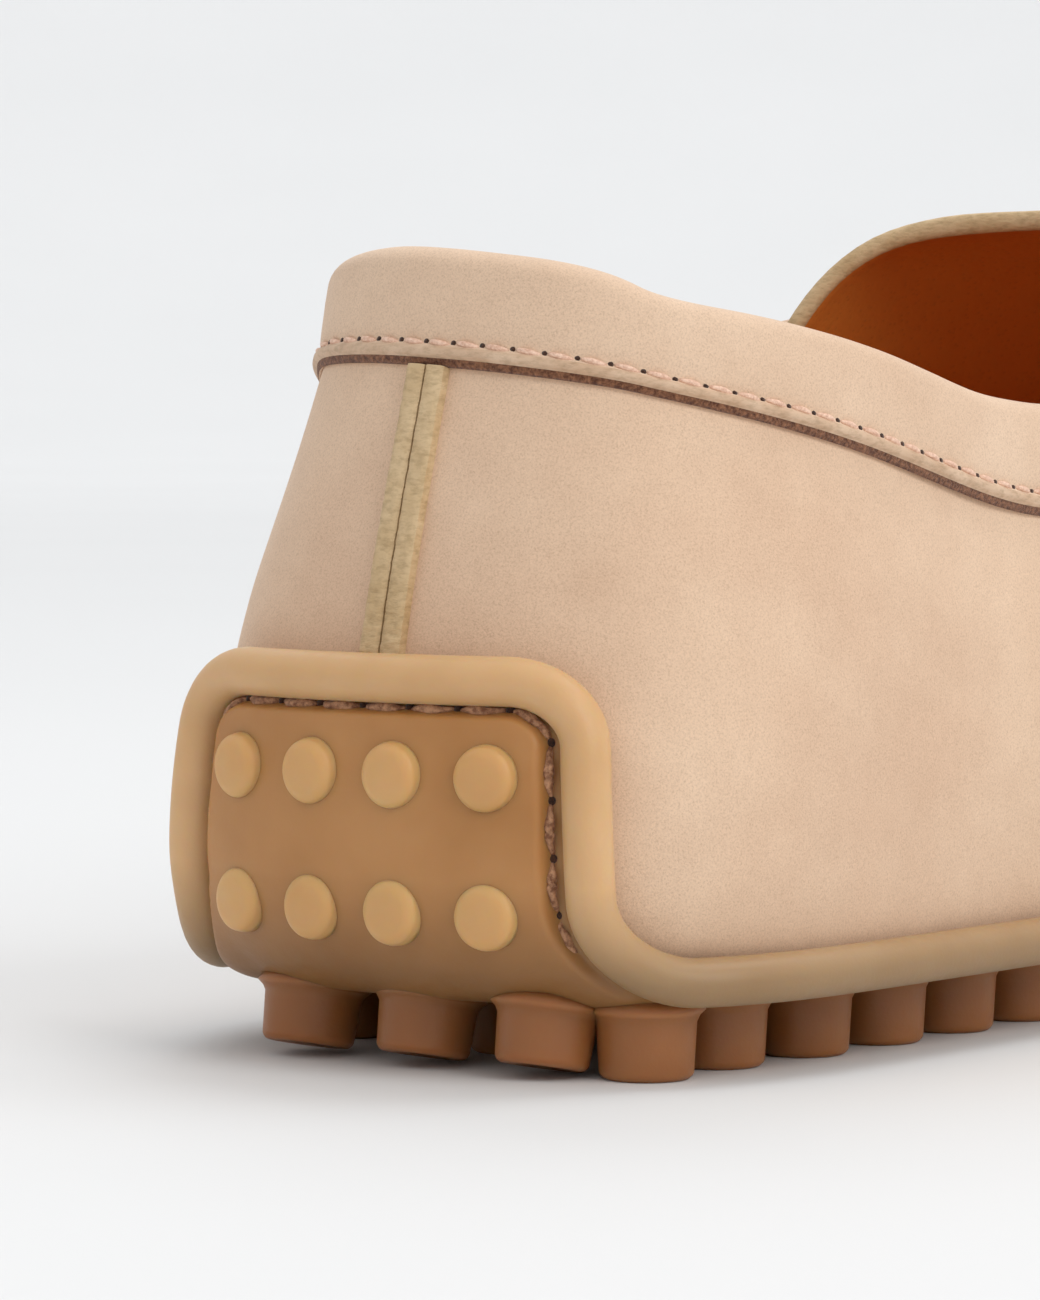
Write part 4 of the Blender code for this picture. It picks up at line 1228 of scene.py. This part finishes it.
def make_panel_studs():
    """Eight low round studs on the heel panel."""
    radius = PANEL_STUD_RADIUS
    height = PANEL_STUD_HEIGHT
    profile = [(radius + flare, level) for flare, level in PANEL_STUD_FLARE]
    start = profile[-1][1]
    for angle in np.linspace(0, math.pi / 2, PANEL_STUD_STEPS + 1)[1:]:
        rise = (height - start - PANEL_STUD_DOME) * math.sin(angle)
        profile.append((radius - PANEL_STUD_EDGE * (1 - math.cos(angle)), start + rise))
    profile += [(radius * share, height - drop) for share, drop in PANEL_STUD_TIP]
    parts = []
    for level in PANEL_STUD_ROWS:
        for column in PANEL_STUD_COLUMNS:
            param = column * PANEL_STUD_PITCH
            root = Vector(wall_at(param, level, PANEL_THICKNESS)[0])
            tip = Vector(wall_at(param, level, PANEL_THICKNESS + height)[0])
            turn = (tip - root).to_track_quat("Z", "Y").to_matrix().to_4x4()
            parts.append(lathe(profile, PANEL_STUD_SIDES, Matrix.Translation(root) @ turn))
    new_piece("panel_studs", *gather(parts), [PANEL_STUD_GUM], "rubber")


def make_thread():
    """Thick twisted stitches in the groove round the heel panel, and dark plugs of painted shade for their
    holes.
    """
    half = path_line(THREAD_INSET)
    places = np.vstack([half[::-1] * (-1, 1), half[1:]])
    line = [wall_at(param, height, THREAD_OFFSET)[0] for param, height in places]
    lengths = curve_lengths(np.array(line))
    count = int(lengths[-1] / THREAD_PITCH)
    first = (lengths[-1] - count * THREAD_PITCH) / 2
    shares = np.linspace(0, 1, THREAD_STEPS + 1)
    rises = np.sin(np.pi * shares) ** THREAD_FULLNESS
    sizes = THREAD_RADIUS * (THREAD_TIP + (1 - THREAD_TIP) * rises)
    angles = 2 * math.pi * np.arange(THREAD_SIDES) / THREAD_SIDES
    gap = (1 - THREAD_SHARE) / 2
    threads = []
    holes = []
    for index in range(count):
        where = sample(places, lengths, first + (index + gap + shares * THREAD_SHARE) * THREAD_PITCH)
        points = [wall_at(param, height, THREAD_OFFSET - THREAD_SINK * (1 - rise))[0]
                  for (param, height), rise in zip(where, rises)]
        phases = shares * THREAD_TWIST * math.pi + index
        radii = sizes[:, None] * (1 + THREAD_PLY * np.cos(2 * angles - phases[:, None]))
        threads.append(tube(points, radii, THREAD_SIDES))
        param, height = sample(places, lengths, [first + index * THREAD_PITCH])[0]
        hole = [wall_at(param, height, THREAD_OFFSET + depth)[0] for depth in THREAD_HOLE_DEPTHS]
        holes.append(tube(hole, THREAD_HOLE_RADII, THREAD_HOLE_SIDES))
    new_piece("sole_thread", *gather(threads), [THREAD], "seam")
    new_piece("sole_thread_holes", *gather(holes), [HOLE_SHADE], "seam")


def seam_row(side, station):
    """Edge point of the apron, the direction across the seam and the way up, in one row."""
    param = LAST.param(side, station)
    edge = top_point(param, 0.0, 0.0)
    inner = apron_points(min(station, TOE_ROW - SEAM_TOE), np.array([side * SEAM_AIM]))[0]
    across = unit(unit(edge - top_point(param, SEAM_WIDTH, 0.0)) + unit(inner - edge))
    along = top_point(param + SEAM_WIDTH, 0.0, 0.0) - top_point(param - SEAM_WIDTH, 0.0, 0.0)
    return np.concatenate([edge, across, unit(np.cross(along, across))])


def seam_ring(row, rises, widths):
    """Points over the seam at one row, from their heights over the edge and places across."""
    edge, across, up = np.split(row, 3)
    return edge + np.outer(rises, up) + np.outer(widths, across)


def make_apron_seam():
    """The raised hand seam round the apron, nipped in by its stitches."""
    outer = [THROAT_ROW + SEAM_START] + stations(THROAT_ROW, TOE_ROW)[1:]
    places = [(1, station) for station in outer] + [(-1, station) for station in reversed(outer[:-1])]
    table = np.array([seam_row(side, station) for side, station in places])
    lengths = curve_lengths(table[:, :3])
    fine = np.arange(0, lengths[-1], SEAM_STEP)
    sizes = 1 - SEAM_NIP * (0.5 + 0.5 * np.cos(2 * math.pi * fine / PUCKER_PITCH)) ** 3
    angles = 2 * math.pi * np.arange(SEAM_SIDES) / SEAM_SIDES
    lift = np.where(np.sin(angles) > 0, SEAM_HEIGHT * SEAM_CROWN, SEAM_LIFT * SEAM_FOOT) * np.sin(angles)
    width = SEAM_WIDTH / 2 * np.cos(angles)
    rings = [seam_ring(row, SEAM_LIFT + lift * size, width * size)
             for row, size in zip(sample(table, lengths, fine), sizes)]
    faces = solid_faces(len(rings), SEAM_SIDES)
    new_piece("apron_seam_roll", np.vstack(rings), faces, [NUBUCK], "seam", ["apron_seam"])
    spots = np.arange(PUCKER_PITCH, lengths[-1] - PUCKER_PITCH / 2, PUCKER_PITCH)
    bends = np.linspace(-LOOP_TUCK, math.pi + LOOP_TUCK, LOOP_STEPS + 1)
    rises = SEAM_LIFT + SEAM_HEIGHT * LOOP_HEIGHT * np.sin(bends)
    widths = SEAM_WIDTH / 2 * LOOP_WIDTH * np.cos(bends)
    threads = []
    for row, ahead in zip(sample(table, lengths, spots), sample(table, lengths, spots + PROBE)):
        loop = seam_ring(row, rises, widths)
        threads.append(tube(loop, np.full(len(loop), LOOP_RADIUS), LOOP_SIDES, guide=ahead[:3] - row[:3]))
    new_piece("apron_stitches", *gather(threads), [STITCH], "seam")


def make_insole():
    """The sock inside, flat on top with a rounded edge, following the sole's arch and toe spring."""
    vertices = []
    params = loop_params()
    for share, inset in INSOLE_RINGS:
        height = FEATHER_HEIGHT + INSOLE_THICKNESS * share
        for param in params:
            foot, outward = LAST.profile(param)[:2]
            vertices.append(place(foot - outward * (WALL + inset), height)[0])
    count = len(params)
    faces = tube_faces(len(INSOLE_RINGS), count)
    top = list(range(len(vertices) - count, len(vertices)))
    vertices, faces = cap(np.array(vertices), faces, top, INSOLE_TOP_STEPS)
    vertices, faces = cap(vertices, faces, list(range(count)), INSOLE_FOOT_STEPS)
    new_piece("insole_sock", vertices, faces, [LINING], "lining", ["insole"])


def make_floor():
    """A wide pale floor that sweeps up all round, far from the shoe."""
    sweep = arc((FLOOR_RADIUS, SWEEP_RADIUS), SWEEP_RADIUS, -math.pi / 2, 0.0, SWEEP_STEPS)
    angles = 2 * math.pi * np.arange(FLOOR_SIDES) / FLOOR_SIDES
    vertices = []
    for radius, height in [*FLOOR_RINGS, *sweep]:
        level = np.full(FLOOR_SIDES, height)
        vertices.append(np.column_stack([radius * np.cos(angles), radius * np.sin(angles), level]))
    faces = tube_faces(len(vertices), FLOOR_SIDES) + [tuple(range(FLOOR_SIDES))[::-1]]
    mesh = new_mesh("floor", np.vstack(vertices), faces)
    mesh.shade_smooth()
    look = Look("pale_floor", Roughness=0.7, Specular_IOR_Level=0.1)
    cloud = look.noise(scale=3.0, detail=2.0)
    look.feed("Base Color", look.ramp(cloud, (0.3, linear(227, 228, 229)), (0.7, linear(229, 230, 231))))
    mesh.materials.append(look.material)
    floor = bpy.data.objects.new("floor", mesh)
    bpy.context.scene.collection.objects.link(floor)


def make_lights():
    """Pale room light and the soft boxes."""
    world = bpy.data.worlds.new("room")
    world.use_nodes = True
    background = world.node_tree.nodes["Background"]
    background.inputs["Color"].default_value = (1.0, 1.0, 1.0, 1.0)
    background.inputs["Strength"].default_value = ROOM_LIGHT
    bpy.context.scene.world = world
    for name, spot, aim, size, power, colour in LIGHTS:
        data = bpy.data.lights.new(name, "AREA")
        data.shape = "SQUARE"
        data.size = size
        data.energy = power
        data.color = colour
        light = bpy.data.objects.new(name, data)
        light.location = spot
        light.rotation_euler = (Vector(aim) - Vector(spot)).to_track_quat("-Z", "Y").to_euler()
        bpy.context.scene.collection.objects.link(light)
    bpy.context.scene.view_settings.view_transform = "Standard"


def make_camera():
    """Camera low behind the heel, on the outer side."""
    data = bpy.data.cameras.new("camera")
    data.lens = LENS
    data.sensor_width = SENSOR_WIDTH
    data.clip_start, data.clip_end = CAMERA_REACH
    camera = bpy.data.objects.new("camera", data)
    camera.location = CAMERA_AT
    camera.rotation_euler = (math.radians(90 - CAMERA_DIP), 0.0, math.radians(CAMERA_TURN))
    bpy.context.scene.collection.objects.link(camera)
    bpy.context.scene.camera = camera


make_upper()
make_collar()
make_collar_stitches()
make_heel_edges()
make_sole_skin()
make_rim()
make_sole_studs()
make_panel_studs()
make_thread()
make_apron_seam()
make_insole()
make_floor()
make_lights()
make_camera()
